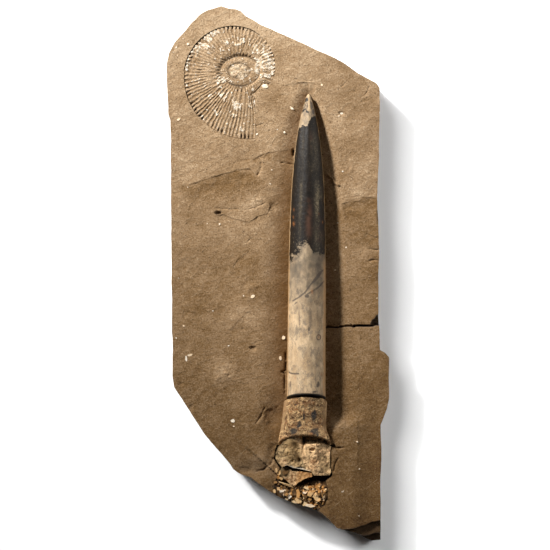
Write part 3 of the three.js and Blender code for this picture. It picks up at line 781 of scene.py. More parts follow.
def roughRows(kind, amount):
    # the rows of a kind of line, with the line itself, which comes last, made uneven
    return [(*row[:-1], roughened(row[-1], 0.55, amount, 40 + 3 * k)) for k, row in enumerate(slab[kind])]


ledges = roughRows("ledges", 0.45)
cracks = roughRows("cracks", 0.25)
shellAngles = np.radians(ammonite["mouthAngle"] - np.linspace(0, 360, 2000, endpoint=False))
shellRadii = ammoniteRadius(shellAngles)
shellEdge = resampled(np.column_stack([ammonite["centreX"] + shellRadii * np.cos(shellAngles),
                                       ammonite["centreY"] + shellRadii * np.sin(shellAngles)]),
                         0.7, loop=True)
pocketEdge = resampled(slab["pocket"], 0.6, loop=True)
pocketEdge = pocketEdge + sideways(pocketEdge, loop=True) * (0.35 * grainy(*pocketEdge.T, 3, 3, 9))[:, None]


def shaleFace(x, y):
    # the worn bedding plane with its trough beside the fossil, before cracks and hollows
    t, isLeft, beside = besideGuard(x, y)
    reach = np.where(isLeft, 8, 6) * (1 + smooth(t, 0, 60))
    away = np.hypot(np.maximum(beside, 0), np.maximum(0, y - guard["tipY"]))
    ending = np.where(isLeft, smooth(y, -112, -95), smooth(y, -90, -80))
    trough = -slab["troughDepth"] * np.clip(1 - away / reach, 0, 1) ** 1.5 * ending
    bank = slab["bankHeight"] * smooth(-y, 82, 92) * between(x, 24, 32, 44, 58)
    return slab["faceHeight"] + trough + bank + mounds(x, y, slab["swells"]) + 0.35 * rolling(x, y, 17)


def slabHeight(x, y):
    terrace = 5 * grainy(x, y, 46, 3, 21)
    step = np.floor(terrace) + smooth(terrace - np.floor(terrace), 0.86, 1)
    z = shaleFace(x, y) + 0.12 * (step - 0.4 * terrace)
    z = z + 0.16 * grainy(x, y, 11, 4, 31) + 0.05 * grainy(x, y, 1.9, 2, 35)
    for k, (drop, reach, shade, line) in enumerate(ledges):
        away, side, along = nearLine(x, y, line, reach)
        fall = smooth(away, 0, 0.6) * (1 - smooth(away, 0.2 * reach, reach))
        if reach < slab["fullReach"]:
            fall = fall * between(along, 0, 0.08, 0.92, 1)
            fall = fall * np.clip(0.62 + 0.75 * grainy(x, y, 5, 3, 37 + k), 0.1, 1.15)
        z = z - abs(drop) * np.where(side * np.sign(drop) < 0, fall, 0)
    for k, (width, depth, line) in enumerate(cracks):
        away, side, along = nearLine(x, y, line, 2)
        ends = 1
        if depth < slab["fullDepth"]:
            ends = between(along, 0, 0.12, 0.88, 1)
            ends = ends * np.clip(0.5 + 0.9 * grainy(x, y, 2.6, 2, 38 + k), 0.1, 1)
        z = z - depth * bell(away, 0, 0.5 * width) * ends
    wobble = 0.35 * grainy(x, y, 2, 2, 51)
    for *place, depth in slab["pits"]:
        z = z - depth * oval(x, y, *place, 0, wobble, 0.55, 1.15)
    z = z + 2 * np.clip(grainy(x, y, 2.6, 3, 61), 0, 1) * mounds(x, y, slab["crumbs"])
    broken = np.minimum(z, 15.6 + 0.8 * grainy(x, y, 3, 2, 71))
    z = np.where(intoOutline(x, y, slab["chip"], 3) > 0, broken, z)
    # seats of the fossils
    on, off, under = underFossil(x, y)
    seat = under - slab["seatGap"]
    z = np.where(on & (off < 0.75) & (y > 90), np.maximum(z, np.minimum(seat, 21)), z)
    z = np.where(on, np.minimum(z, seat), z)
    floor = slab["pocketFloor"] + 0.25 * grainy(x, y, 3, 3, 81)
    z = np.where(intoOutline(x, y, pocketEdge, 3) > 0, np.minimum(z, floor), z)
    direction = np.arctan2(y - ammonite["centreY"], x - ammonite["centreX"])
    cover = between(-direction, 0.9, 1.1, 1.33, 1.36)    # shale laps over the mouth
    gap = 0.55 * smooth(direction, 0.7, 1.3) * smooth(np.cos(direction), 0.9, 0.2) - 0.3
    over = buried(x, y)
    inShell = intoOutline(x, y, shellEdge, 3) - cover * np.clip(0.7 + 1.1 * grainy(x, y, 4, 3, 83), 0.4, 2)
    z = np.where((inShell > -gap) & (over > 0.05), z - 0.35 * (1 - smooth(over, 0.05, 0.7)), z)
    z = np.where((inShell > -gap) & (over < 0.05), slab["shellFloor"], z)
    return np.minimum(z, slab["highest"])


def slabExtras(outline):
    # close points on both sides of every crack, ledge and hollow, so that their edges are crisp
    lines = []
    for width, depth, line in cracks:
        lines += [line + sideways(line) * share * 0.5 * width for share in (-1, -0.45, 0, 0.45, 1)]
    for drop, reach, shade, line in ledges:
        lines += [line + sideways(line) * off for off in (0.03, -0.03, 0.45, -0.45)]
    for ring, offs in ((pocketEdge, (0.06, -0.06)), (shellEdge, (-0.35, -0.12, 0.12, 0.35))):
        lines += [ring + sideways(ring, loop=True) * off for off in offs]
    inner = outline + sideways(outline, loop=True) * 0.3
    return np.vstack([line[isInside(*line.T, inner)] for line in lines])


def awayFromExtras(x, y):
    kinds = [(line, 1.5, 0.5 * width + 0.25) for width, depth, line in cracks]
    kinds += [(row[-1], 1.5, 0.6) for row in ledges] + [(pocketEdge, 1, 0.35), (shellEdge, 1, 0.5)]
    return np.all([nearLine(x, y, line, reach)[0] > gap for line, reach, gap in kinds], axis=0)


def slabInset(along, share):
    # beds that stand out or lie back a little, more towards the back of the slab
    bed = math.floor(share * slab["beds"])
    uneven = 0.5 + 0.5 * grainy(along, np.full_like(along, 37.0 * bed), 16, 4, 91 + bed)
    depth = (0.15 + 1.5 * share * share) * (0.35 + 0.65 * hashed(bed, 3, 2)) + 0.5 * uneven * (0.4 + share)
    groove = 0.35 if (share * slab["beds"]) % 1 < 0.12 and share > 0.1 else 0
    return np.maximum(0.02, depth + groove - 0.1)


def wornOutline():
    edge = resampled(slab["outline"], slab["grid"] * 1.06, loop=True)[::-1]
    wear = slab["edgeWear"] * (0.35 + 0.65 * wavy(np.arange(len(edge)) * slab["grid"], 9, 4, 11)) + 0.1
    return edge + sideways(edge, loop=True) * np.clip(wear, 0, 1.2)[:, None]


def makeSlab(material):
    outline = wornOutline()
    piece = makePlate("shaleSlab", outline, slab["grid"], slabHeight, 0, slab["rings"], slabInset,
                      [slabExtras(outline)], awayFromExtras)
    x, y, z = pointsOf(piece).T
    t, isLeft, beside = besideGuard(x, y)
    beside = np.maximum(beside, np.maximum(0, y - guard["tipY"]))
    rusty = (1 - smooth(beside, 1, 14)) * smooth(y, -112, -90) * isLeft
    rusty = rusty * (0.3 + 0.7 * smooth(t, 20, 70) - 0.35 * smooth(t, 150, 175))
    # darker down the slab and towards its right side
    tone = 0.76 + 0.14 * smooth(y, 105, 150) - 0.2 * smooth(-y, -100, 20) - 0.26 * smooth(-y, 30, 120)
    tone = tone - 0.14 * smooth(x, 10, 50) + mounds(x, y, slab["tones"])
    tone = tone + 0.13 * grainy(x, y, 30, 3, 101) + 0.08 * grainy(x, y, 7, 3, 105)
    # painted shade over the lower side of each ledge that has some
    for drop, reach, shade, line in ledges:
        if shade:
            away, side, along = nearLine(x, y, line, reach)
            fade = between(away, 0, 0.4, 0.1 * reach, reach) * smooth(along, 0, 0.06)
            tone = tone - shade * np.where(side < 0, fade, 0)
    # painted shade where the face lies low: in cracks, pits, hollows and the pocket, weaker in the pocket and
    # where shale laps over the mouth
    deep = 0.75 * smooth(shaleFace(x, y) - z, 0.8, 3) * (z > 5)
    inPocket = intoOutline(x, y, pocketEdge, 2) > -1.5
    deep = deep * (1 - inPocket * (0.35 + 0.4 * smooth(-y, 121, 125)))
    lapped = mound(x, y, -13.2, 90, 1.8, 11) + mound(x, y, -13, 111, 4, 4)    # shale over the mouth
    deep = deep * (1 - np.clip(2 * lapped, 0, 1))
    paintPoints(piece, rusty=rusty, deep=deep, tone=np.clip(tone, 0, 1.1))
    dress(piece, material, "shale", "shale_slab")


# Guard: the rod, with its broken end chipped and its skin painted

def makeGuard(material):
    piece, points = runTree("belemniteGuard", guardTree(material), guard)
    x, y, z = points.T
    axisX, axisZ = guardAxis(y)
    t = besideGuard(x, y)[0]
    radius = np.maximum(guardRadius(t), 0.3)
    angle = np.arctan2(x - axisX, z - axisZ)
    across = (x - axisX) / radius
    girth = angle * radius
    # small relief: long low waves, pits, and a chipped rim at the break
    relief = 0.1 * grainy(girth, y * 0.25, 3.4, 3, 201) + 0.06 * grainy(girth, y, 1.6, 3, 205)
    relief = relief - 0.16 * np.clip(grainy(girth, y, 2.2, 3, 209) - 0.35, 0, 1) * smooth(12 - y, 0, 8)
    relief = (relief - mounds(girth, y, guard["notches"])) * smooth(radius, 0.5, 6)
    fromTip = t + guard["breakSlant"] * (z - axisZ)    # measured square to the slanting break
    points[:, 0] += np.sin(angle) * relief
    points[:, 2] += np.cos(angle) * relief
    endFace = smooth(t, guard["length"] - 2.2, guard["length"] - 0.4)
    points[:, 1] += endFace * (0.85 * grainy(x, z, 5, 3, 215) - 0.2 * np.abs(across) ** 3)
    movePoints(piece, points)
    # masks
    uneven = grainy(x, y, 3, 4, 221)
    low = np.interp(x, *zip(*guard["darkEdge"]))
    high = np.interp(across, *zip(*guard["darkTop"]))
    dark = smooth((y - low + 2.42 * uneven) / (2.2 + 5 * smooth(-across, 0.05, 0.4)), -1, 1)
    dark = dark * (1 - smooth(y - high + 1.54 * uneven, -1.2, 1.2))
    tipDark = np.clip(0.95 + 0.9 * grainy(x, y, 1.8, 3, 223), 0, 1) * between(y, 95.5, 97.5, 104.5, 106)
    tipDark = tipDark * (1 - smooth(across + 0.22 * uneven, -0.25, 0.1))
    rim = smooth(np.abs(across) + 0.022 * uneven, 0.955, 0.985)
    dark = np.clip(dark + 0.85 * tipDark, 0, 1) * (1 - rim) * (z > axisZ)
    edging = smooth(across + 0.022 * uneven, 0.84, 0.9) * (1 - smooth(y, 2, 12))
    edging = np.maximum(edging, smooth(-across + 0.022 * uneven, 0.93, 0.97) * (1 - smooth(y, 4, 14)))
    ring = np.hypot((x - 24.4) / 1.3, (y + 37.8) / 1.7)
    stains = 0.9 * bell(ring, 0.9, 0.3)
    for *place, strength in guard["stains"]:
        stains = np.maximum(stains, strength * oval(x, y, *place, 0.44 * uneven))
    for vein in guard["veins"]:
        stains = np.maximum(stains, 0.95 * bell(nearLine(x, y, resampled(vein, 1), 4)[0], 0, 0.55))
    brown = mounds(x, y, guard["brown"]) + 0.7 * mound(x, y, 25, 24, 2.2, 9) * smooth(y, 14, 20)
    brown = brown * np.clip(0.55 + 1.1 * grainy(x, y, 3.4, 3, 233), 0, 1)
    rust = sum(0.8 * mound(x, y, px, py, 0.7 * size, 1.4 * size) for px, py, size in guard["rust"])
    cream = 0.8 * smooth(y, 96.8, 98.5) * bell(across, 0.12, 0.2) + 0.5 * smooth(y, 105.6, 106.6)
    shade = 0.74 * smooth(y, -30, 0) + 0.1 * between(-y, -4, 40, 50, 66) + 0.16 * mound(x, y, 19, -25, 6, 14)
    shade = np.where(y > 84, 0.55, shade)
    shade = shade + 0.3 * grainy(x, y * 0.6, 4, 3, 227) + 0.3 * grainy(x, y * 0.7, 1.8, 2, 228)
    # painted highlights: light streaks down the dark half where the lamps are reflected, broken up by noise
    bands = 0.7 * mound(x, y, 24, 42, 1.6, 7)
    for centre, width, *reach, strength in guard["bands"]:
        bands = bands + strength * bell(across, centre, width) * between(y, *reach)
    bands = bands * np.clip(0.7 + 1.1 * grainy(x * 1.3, y * 0.3, 3, 3, 231), 0.05, 1)
    # painted shade over the end face at the break, which lies in shadow
    deep = smooth(fromTip, guard["length"] - 1.3, guard["length"] - 0.6)
    paintPoints(piece, dark=dark, stain=np.clip(stains * (z > axisZ - 2), 0, 1), brown=np.clip(brown, 0, 1),
                deep=deep, edging=edging, rust=np.clip(rust, 0, 1), cream=np.clip(cream, 0, 1), rim=rim,
                bands=bands, shade=np.clip(shade, 0, 1))
    dress(piece, material, "guard_calcite", "belemnite_guard")


# Collar: a tube from the break, out over its wall, round the mouth and back into the hollow

def makeCollar(material):
    sides = collar["sides"]
    angle = np.linspace(0, math.tau, sides, endpoint=False)
    across, up, girth = np.cos(angle), np.sin(angle), angle * 12
    band = smooth(np.abs(across), 0.74, 0.88)    # the smooth skin at both sides
    start, mouth, deepest = collar["sections"][0][0], collar["sections"][-1][0], collar["hollow"][0][0]
    rings = [(start, share, False) for share in (0.15, 0.4, 0.65, 0.85, 0.97)]
    rings += [(y, 1, False) for y in np.arange(start, mouth, -collar["step"])] + [(mouth, 0.985, False)]
    rings += [(y, 1, True) for y in np.arange(mouth + 0.5, deepest, collar["step"])]
    points = [[[16.6, start - 1, 23.7]]]
    for y, share, isInner in rings:
        centreX, wide, high, axis = sectionAt(collar["hollow" if isInner else "sections"], y)
        down = np.clip((start - y) / (start - mouth), 0, 1)
        level = np.full(sides, y)
        relief = 0.3 * grainy(girth, level, 3.2, 4, 301) + 0.24 * grainy(girth, level, 1.5, 2, 305)
        relief = relief * (1 - 0.8 * band) * (0.3 if isInner else 1) - 0.35 * (1 - band) * (not isInner)
        chewed = 0.28 * wavy(girth, 2.6, 3, 311) * smooth(down, 0.7, 1)
        lift = up * high * share
        slant = collar["breakSlant"] * lift * (1 - down) + collar["mouthSlant"] * np.abs(lift) * down
        broken = 0.5 * grainy(girth, np.full(sides, 9.0), 4, 3, 313)
        broken = broken * (1 - smooth(down, 0, 0.2)) * (share > 0.9)
        points.append(np.column_stack([centreX + across * (wide + relief) * share,
                                       y + slant + chewed + broken,
                                       axis + up * (high + relief) * share]))
    points = np.vstack([*points, [[16.2, deepest + 1, 23.2]]])
    around = np.arange(sides)
    after = np.roll(around, -1)
    faces = [np.column_stack([0 * around, 1 + around, 1 + after])]
    for ring in range(len(rings) - 1):
        first = 1 + ring * sides
        second = first + sides
        faces.append(np.column_stack([first + around, second + around, second + after]))
        faces.append(np.column_stack([first + around, second + after, first + after]))
    faces.append(np.column_stack([second + around, 0 * around + len(points) - 1, second + after]))
    piece = makePiece("alveolusCollar", points, np.vstack(faces), 60)
    x, y, z = points.T
    centreX, wide, high, axis = sectionAt(collar["sections"], y)
    uneven = 0.14 * grainy(x, y, 2.2, 4, 321)
    skin = smooth(np.abs((x - centreX) / wide) + uneven, 0.8, 0.9) * (z > axis - 3)
    skin = skin * (1 - 0.8 * smooth(-y, 92, 96))
    dark = np.max([oval(x, y, *row, 4.5 * uneven, 0.6, 1.1) for row in collar["stains"]], axis=0)
    rust = np.clip(mounds(x, y, collar["rust"]), 0, 1)
    paintPoints(piece, skin=skin, dark=np.clip(dark * (z > axis), 0, 1), rust=rust)
    dress(piece, material, "collar_calcite", "alveolus_collar")


# Crushed chambers below the collar

block = {
    "grid": 0.42,
    "rings": 10,
    "base": 15.3,
    "height": 25.6,
    "lowest": 16,
    "highest": 26.9,
    "outline": [
        (0.2, -103.4), (-1.2, -107), (-1.5, -110.5), (0.2, -113.5), (2.7, -115.8), (5.4, -114.5), (9, -116),
        (14, -117), (20.3, -118.4), (21.6, -120.7), (31, -120.8), (32.2, -119), (31.4, -115), (31.4, -107),
        (32.2, -103.4), (30, -101.6), (27.6, -99.4), (24, -97.8), (20, -97), (16, -96.8), (12, -97),
        (8, -97.7), (5, -99), (3, -100.8),
    ],
    "pits": [    # x, y, half width, half height, depth
        (20.4, -105.3, 1.8, 0.9, 1.3), (6.2, -107.4, 0.9, 0.7, 0.9), (9, -112, 0.8, 0.9, 0.9),
        (12.4, -111.4, 1.6, 1.4, 0.9), (16.5, -113.6, 0.7, 0.5, 0.5), (25, -105.6, 0.8, 0.6, 0.5),
        (28, -110, 0.6, 0.6, 0.5), (23.4, -112.4, 0.7, 0.9, 0.5), (13.8, -116.2, 2, 0.8, 0.6),
    ],
    "lumps": [    # x, y, reach in x and in y, height
        (9, -98.5, 5, 3, 1.2), (7, -106, 4, 3.5, 1.1), (3, -112, 3, 3.5, 0.9), (1.5, -106.5, 2.2, 2.2, 0.6),
        (9, -108.5, 2.4, 2.2, 0.5), (15.6, -100.6, 0.7, 4, -2.2),
    ],
    "lip": [(4.6, -114.6), (9, -115.7), (14, -116.7), (19, -117.8)],
    "ochre": [    # x, y, reach in x and in y, strength
        (9, -101.8, 4, 2.4, 1), (10, -108, 3.4, 3.4, 0.9),
    ],
    "rust": [(22, -112, 2.6, 1.4, 1), (21, -116, 2, 1.2, 0.7)],
}
wedge = {
    "grid": 0.42,
    "rings": 8,
    "base": 15.3,
    "height": 23.4,
    "highest": 24.9,
    "outline": [
        (1.8, -116.6), (5.5, -115.5), (8.6, -118.2), (13.6, -118.4), (20.2, -119.3), (20.6, -121.2),
        (16.2, -122.6), (11.9, -125.2), (9.9, -127.3), (7, -125.5), (5.2, -123.6), (1.8, -121.2),
    ],
}


def blockHeight(x, y):
    z = block["height"] - 3.1 * smooth(x, 21, 31) - 2.4 * smooth(y, -103, -99) * smooth(x, 13, 15.5)
    z = z + mounds(x, y, block["lumps"]) - 1.4 * smooth(-x, -9, 1)
    z = z - 1.5 * bell(x + 0.3 * y, -20, 1.6) * between(-y, 100, 104, 112, 116)
    rough = smooth(x + 1.5 * grainy(x, y, 5, 2, 403), 12, 16)
    z = z + (0.3 + 0.4 * rough) * grainy(x, y, 2.6, 4, 401) + 0.35 * (1 - rough) * grainy(x, y, 5, 2, 402)
    z = z - 0.5 * rough * np.clip(grainy(x, y, 1.7, 2, 407) - 0.25, 0, 1)
    wobble = 0.3 * grainy(x, y, 2, 2, 409)
    for *place, depth in block["pits"]:
        z = z - depth * oval(x, y, *place, 0, wobble)
    return np.clip(z, block["lowest"], block["highest"])


def wedgeHeight(x, y):
    plate = wedge["height"] + 0.12 * (x - 10) + 0.22 * (y + 120)
    plate = plate + 0.5 * grainy(x, y, 4.4, 4, 431) + 0.2 * grainy(x, y, 1.4, 2, 432)
    return np.minimum(plate, wedge["highest"])


def crumbled(along, share):
    depth = 0.5 * (0.5 + 0.5 * grainy(along, np.full_like(along, 9.0 * share), 2.5, 3, 441))
    return np.maximum(0.02, depth * smooth(share, 0, 0.3) * 0.8)


def brokenPlate(name, sizes, heightAt, wear, seed):
    grid = sizes["grid"]
    edge = resampled(sizes["outline"], grid, loop=True)
    worn = np.clip(wear * (0.6 + wavy(np.arange(len(edge)) * grid, 3, 4, seed)), 0.02, 3 * wear)
    edge = edge + sideways(edge, loop=True) * worn[:, None]
    return makePlate(name, edge, grid, heightAt, sizes["base"], sizes["rings"], crumbled)


def makeBlock(material):
    piece = brokenPlate("phragmoconeBlock", block, blockHeight, 0.16, 411)
    x, y, z = pointsOf(piece).T
    wobble = 1.4 * grainy(x, y, 4, 3, 413)
    creamy = smooth(x + 0.35 * (y + 108) + wobble, 13, 15)
    creamy = creamy * (1 - 0.55 * smooth(x + 0.6 * wobble, 22.5, 25.5) * smooth(-y, 107, 110))
    creamy = np.clip(creamy + mound(x, y, 3.4, -112.6, 2.6, 3), 0, 1)
    # painted shade where the top of the chambers lies low
    deep = smooth(25.4 - 3.1 * smooth(x, 21, 31) - z, 0.6, 3) * (y > -118)
    lip = nearLine(x, y, resampled(block["lip"], 1), 3)[0] + 0.5 * grainy(x, y, 2, 3, 415)
    lip = (1 - smooth(lip, 0.15, 0.6)) * (z > 23)
    ochre, rust = (np.clip(mounds(x, y, block[kind]), 0, 1) for kind in ("ochre", "rust"))
    paintPoints(piece, lip=lip, creamy=creamy, ochre=ochre, deep=deep, rust=rust)
    dress(piece, material, "chamber_fill", "phragmocone_block")


def makeWedge(material):
    piece = brokenPlate("phragmoconeWedge", wedge, wedgeHeight, 0.22, 433)
    x, y, z = pointsOf(piece).T
    orange = smooth(x + 1.5 * grainy(x, y, 4, 3, 437), 10, 13)
    olive = (1 - smooth(x + grainy(x, y, 3, 3, 438), 6.2, 7.6)) * smooth(y, -122.5, -120.5)
    # painted shade darkens the wedge where it lies low
    paintPoints(piece, orange=orange, olive=olive, deep=smooth(22.6 - z, 0, 3))
    dress(piece, material, "orange_calcite", "phragmocone_wedge")


# Broken calcite: chips strewn over a low bed, larger ones where they are known to lie.
# A stone is x, y, height, half length, half width, half thickness, turn, tone from dark (0) to white (1).

rubble = {
    "base": 15.3,
    "highest": 23.1,
    "grid": 1.1,
    "density": 0.7,          # small chips per square millimetre
    "chipSize": 0.95,
    "largest": 1.9,
    "seed": 12,
    "facets": 5,
    "outline": [
        (-0.6, -123), (3.4, -125.8), (8, -128.6), (11.8, -129.4), (15.6, -126.8), (21.4, -124),
        (28.6, -124.4), (30.3, -128), (30.3, -134), (28.8, -138.7), (24.8, -141.7), (12.8, -138.4),
        (6.2, -135.8), (0.2, -133), (-2.2, -129),
    ],
    "stones": [
        (3, -130, 19.8, 2.5, 1, 1.4, 10, 0.96), (4.6, -131.8, 20, 2, 1.2, 1.2, 30, 0.95),
        (7.2, -133.2, 20, 1.4, 1.9, 1.3, -20, 1), (5.4, -134.8, 19.2, 1.5, 1, 1, 10, 0.9),
        (5, -137.4, 17.4, 2.5, 1, 1.2, 30, 0.9), (9.8, -131.2, 20.2, 1.5, 2.2, 1.6, 10, 0.28),
        (12.2, -131.6, 20.6, 1.2, 3.2, 1.5, 5, 0.66), (12.4, -135.4, 19.6, 2.2, 2.6, 1.6, 40, 0.8),
        (9.6, -137, 18.6, 2.4, 1.6, 1.4, -10, 0.86), (14, -136, 20, 0.8, 0.9, 0.9, 0, 0.03),
        (17.2, -128.4, 20.4, 1.9, 0.9, 1.1, -25, 0.84), (19.4, -131.8, 21, 1.7, 1.9, 1.4, 0, 0.74),
        (23.6, -134.2, 20.6, 3.2, 1.6, 1.3, -35, 0.8), (16.6, -132.4, 19.6, 1.5, 2.2, 1.4, 10, 0.36),
        (24.8, -127.6, 20.8, 2.5, 2.2, 1.6, 15, 0.6), (27.6, -128.6, 20.8, 1, 1.8, 1.3, 0, 0.7),
        (21.4, -125.4, 19.8, 2.2, 1, 1.3, 20, 0.25), (19, -139, 19.2, 3.6, 0.9, 0.9, -8, 0.94),
        (16.2, -138.2, 18.8, 1.8, 1.1, 1.1, 30, 0.85), (21.6, -136.6, 18.6, 2.4, 0.9, 1, -5, 0.04),
        (26.4, -138.4, 19.2, 1.7, 2.4, 1.6, -20, 0.16), (24, -140, 18, 1.6, 1.2, 1.2, 10, 0.3),
        (27.2, -135.6, 20.4, 1.4, 1.6, 1.2, 30, 0.44), (25.4, -139.6, 19.2, 1.3, 1, 1, -10, 0.5),
        (22.4, -140.8, 18, 1.2, 0.8, 0.9, 0, 0.62), (19.4, -135, 20, 1.5, 1.1, 1.1, 30, 0.5),
        (14, -127.6, 18.2, 2.6, 1, 1, 25, 0.1), (7, -127.8, 17.4, 3, 1.4, 0.9, -30, 0.08),
        (1, -126.6, 18.4, 1.6, 1.1, 1.2, 60, 0.78), (0.6, -131.8, 18, 0.8, 1.9, 1.1, 0, 0.7),
        (1.8, -123.8, 20.6, 1.7, 1.1, 1.3, 50, 0.8), (3.6, -125.6, 20.4, 1.6, 0.9, 1.2, -20, 0.76),
    ],
}
crumbs = {    # crumbs of calcite in the crevice left of the chambers
    "density": 0.0,
    "chipSize": 1.0,
    "largest": 1.0,
    "seed": 6,
    "facets": 5,
    "stones": [
        (-0.6, -117.6, 21.3, 0.9, 1.5, 1, 10, 0.78), (0.8, -119.4, 20.8, 0.9, 1.6, 1.1, -15, 0.76),
        (0.6, -122, 19.8, 1.4, 1.1, 1.1, 40, 0.6), (2, -122.6, 20, 1.4, 1, 1, -20, 0.8),
        (4.6, -118.8, 22.6, 2.2, 1.6, 0.8, 25, 0.36), (30.4, -126.5, 21, 1.2, 0.9, 0.8, 20, 0.35),
        (30.6, -130, 21, 0.8, 1.4, 0.8, -10, 0.45), (30, -134, 20.6, 1.1, 1.2, 0.9, 40, 0.25),
        (29.4, -139.5, 20, 1.3, 1, 0.9, 10, 0.3), (-1.2, -125, 20.4, 1, 0.8, 0.8, 0, 0.5),
        (-2, -130.2, 19.6, 0.8, 1.3, 0.8, 15, 0.8), (-2.6, -127.4, 19.8, 0.8, 0.8, 0.7, 0, 0.2),
    ],
}


def chipTree(material, sizes):
    # chips grown on the points of a bed, each turned, scaled and knocked out of true
    labels = ("density", "chipSize", "largest", "seed", "facets")
    tree, size = newTree("chips", {label: sizes[label] for label in labels})
    bed = size["Geometry"]
    scattered = addNode(tree, "GeometryNodeDistributePointsOnFaces",
                        {"Mesh": bed, "Density": size["density"], "Seed": size["seed"]})
    chip = addNode(tree, "GeometryNodeMeshCylinder",
                   {"Vertices": size["facets"], "Radius": 1.0, "Depth": 1.5})

    def attribute(label, kind="FLOAT"):
        return addNode(tree, "GeometryNodeInputNamedAttribute", {"Name": label}, data_type=kind)

    def chance(low, high, offset, kind="FLOAT"):
        node = addNode(tree, "FunctionNodeRandomValue", data_type=kind).socket.node
        least, most = [socket for socket in node.inputs if socket.enabled][:2]
        least.default_value = low
        most.default_value = high
        feed(node, {"Seed": size["seed"] + offset})
        return Wire(next(socket for socket in node.outputs if socket.enabled))

    def grownOn(points, turn, scale, tone):
        sizes = {"Points": points, "Instance": chip, "Rotation": turn, "Scale": scale}
        return stored(addNode(tree, "GeometryNodeInstanceOnPoints", sizes), "chipTone", tone, "INSTANCE")

    known = calc("GREATER_THAN", attribute("tone"), 0.001)
    places = addNode(tree, "GeometryNodeMeshToPoints", {"Mesh": bed, "Selection": known, "Radius": 0.1})
    turn = vector(0.0, 0.0, attribute("turn"))
    stones = grownOn(places, turn, attribute("size", "FLOAT_VECTOR"), attribute("tone"))
    spin = chance((-0.9, -0.9, 0), (0.9, 0.9, 6.3), 1, "FLOAT_VECTOR")
    grow = chance(0.5, 1.0, 2) * size["chipSize"] * chance(0.6, 1.0, 3) ** -1.0
    uneven = chance((0.7, 0.5, 0.5), (1.3, 1.1, 0.9), 4, "FLOAT_VECTOR")
    scale = vectorCalc("SCALE", uneven, Scale=calc("MINIMUM", grow, size["largest"]))
    both = addNode(tree, "GeometryNodeJoinGeometry", {0: stones})
    feed(both.socket.node, {0: grownOn(scattered, spin, scale, chance(0.15, 0.95, 5))})
    real = addNode(tree, "GeometryNodeRealizeInstances", {0: both})
    place = addNode(tree, "GeometryNodeInputPosition")
    knock = addNode(tree, "ShaderNodeTexNoise", {"Vector": place, "Scale": 0.7, "Detail": 2.0}, "Color")
    knock = vectorCalc("SCALE", vectorCalc("SUBTRACT", knock, (0.5, 0.5, 0.5)), Scale=1.5)
    return endTree(addNode(tree, "GeometryNodeSetPosition", {"Geometry": real, "Offset": knock}), material)


def makeChips(name, sizes, material, stones, bedPoints=(), bedFaces=()):
    # a point for each known stone, with its size, turn and tone, and the faces of the bed
    mesh = bpy.data.meshes.new(name + "Places")
    mesh.from_pydata([*bedPoints, *(stone[:3] for stone in stones)], [], bedFaces)
    known = np.vstack([np.zeros((len(bedPoints), 5)), [stone[3:] for stone in stones]])
    for label, kind, field, values in (("size", "FLOAT_VECTOR", "vector", known[:, :3]),
                                       ("turn", "FLOAT", "value", np.radians(known[:, 3])),
                                       ("tone", "FLOAT", "value", known[:, 4])):
        mesh.attributes.new(label, kind, "POINT").data.foreach_set(field, np.ravel(values))
    return runTree(name, chipTree(material, sizes), sizes, mesh)


def rubbleSlope(x, y, top, fall, end, dip):
    return top - fall * smooth(-y, 131, end) - dip * mound(x, y, 10, -127.5, 8, 2.2) + 1.8 * smooth(x, 20, 28)


def bedSlope(x, y):
    return rubbleSlope(x, y, 19.9, 2.2, 140, 1.4) + 0.8 * grainy(x, y, 3, 4, 505)


def bedInset(along, share):
    return 0.1 + 0.4 * hashed(np.round(along), share * 9, 3)


def makeRubble(material):
    outline = np.array(rubble["outline"])
    xs, ys = np.meshgrid(np.arange(-3, 31, rubble["grid"]), np.arange(-143, -121, rubble["grid"]))
    x, y = xs.ravel(), ys.ravel()
    keep = intoOutline(x, y, outline, 30) > 1.2
    x, y = x[keep], y[keep]
    bed = delaunay_2d_cdt([Vector(p) for p in zip(x.tolist(), y.tolist())], [], [], 0, 1e-4)
    faces = np.array([[bed[3][k][0] for k in face] for face in bed[2]])
    faces = anticlockwise(np.column_stack([x, y]), faces).tolist()
    level = rubbleSlope(x, y, 20.4, 2.6, 141, 2.2) + 0.5 * grainy(x, y, 4, 3, 501)
    bedPoints = np.column_stack([x, y, level])
    piece, points = makeChips("phragmoconeRubble", rubble, material, rubble["stones"], bedPoints, faces)
    # chips that reach over the edge are pulled back to it, and held between two heights
    centre = outline.mean(axis=0)
    for attempt in range(40):
        out = intoOutline(points[:, 0], points[:, 1], outline, 8) < -0.3
        if not out.any():
            break
        points[out, :2] = centre + (points[out, :2] - centre) * 0.985
    points[:, 2] = np.clip(points[:, 2], rubble["base"], rubble["highest"])
    movePoints(piece, points)
    smoothFaces(piece.data, False)
    dress(piece, material, "pale_calcite", "phragmocone_rubble")
    edge = resampled(outline, 0.7, loop=True)
    under = makePlate("rubbleBed", edge, 0.7, bedSlope, rubble["base"], 4, bedInset)
    paintPoints(under, chipTone=0.22 + 0.2 * grainy(*pointsOf(under).T[:2], 2.5, 3, 507))
    dress(under, material, "pale_calcite")


def makeCrumbs(material):
    dress(makeChips("crevicePieces", crumbs, material, crumbs["stones"])[0], material, "pale_calcite")


# Ammonite: a round grid laid out from the heart to the back and closed underneath.
# The last whorl has a rib for every few millimetres of its back.

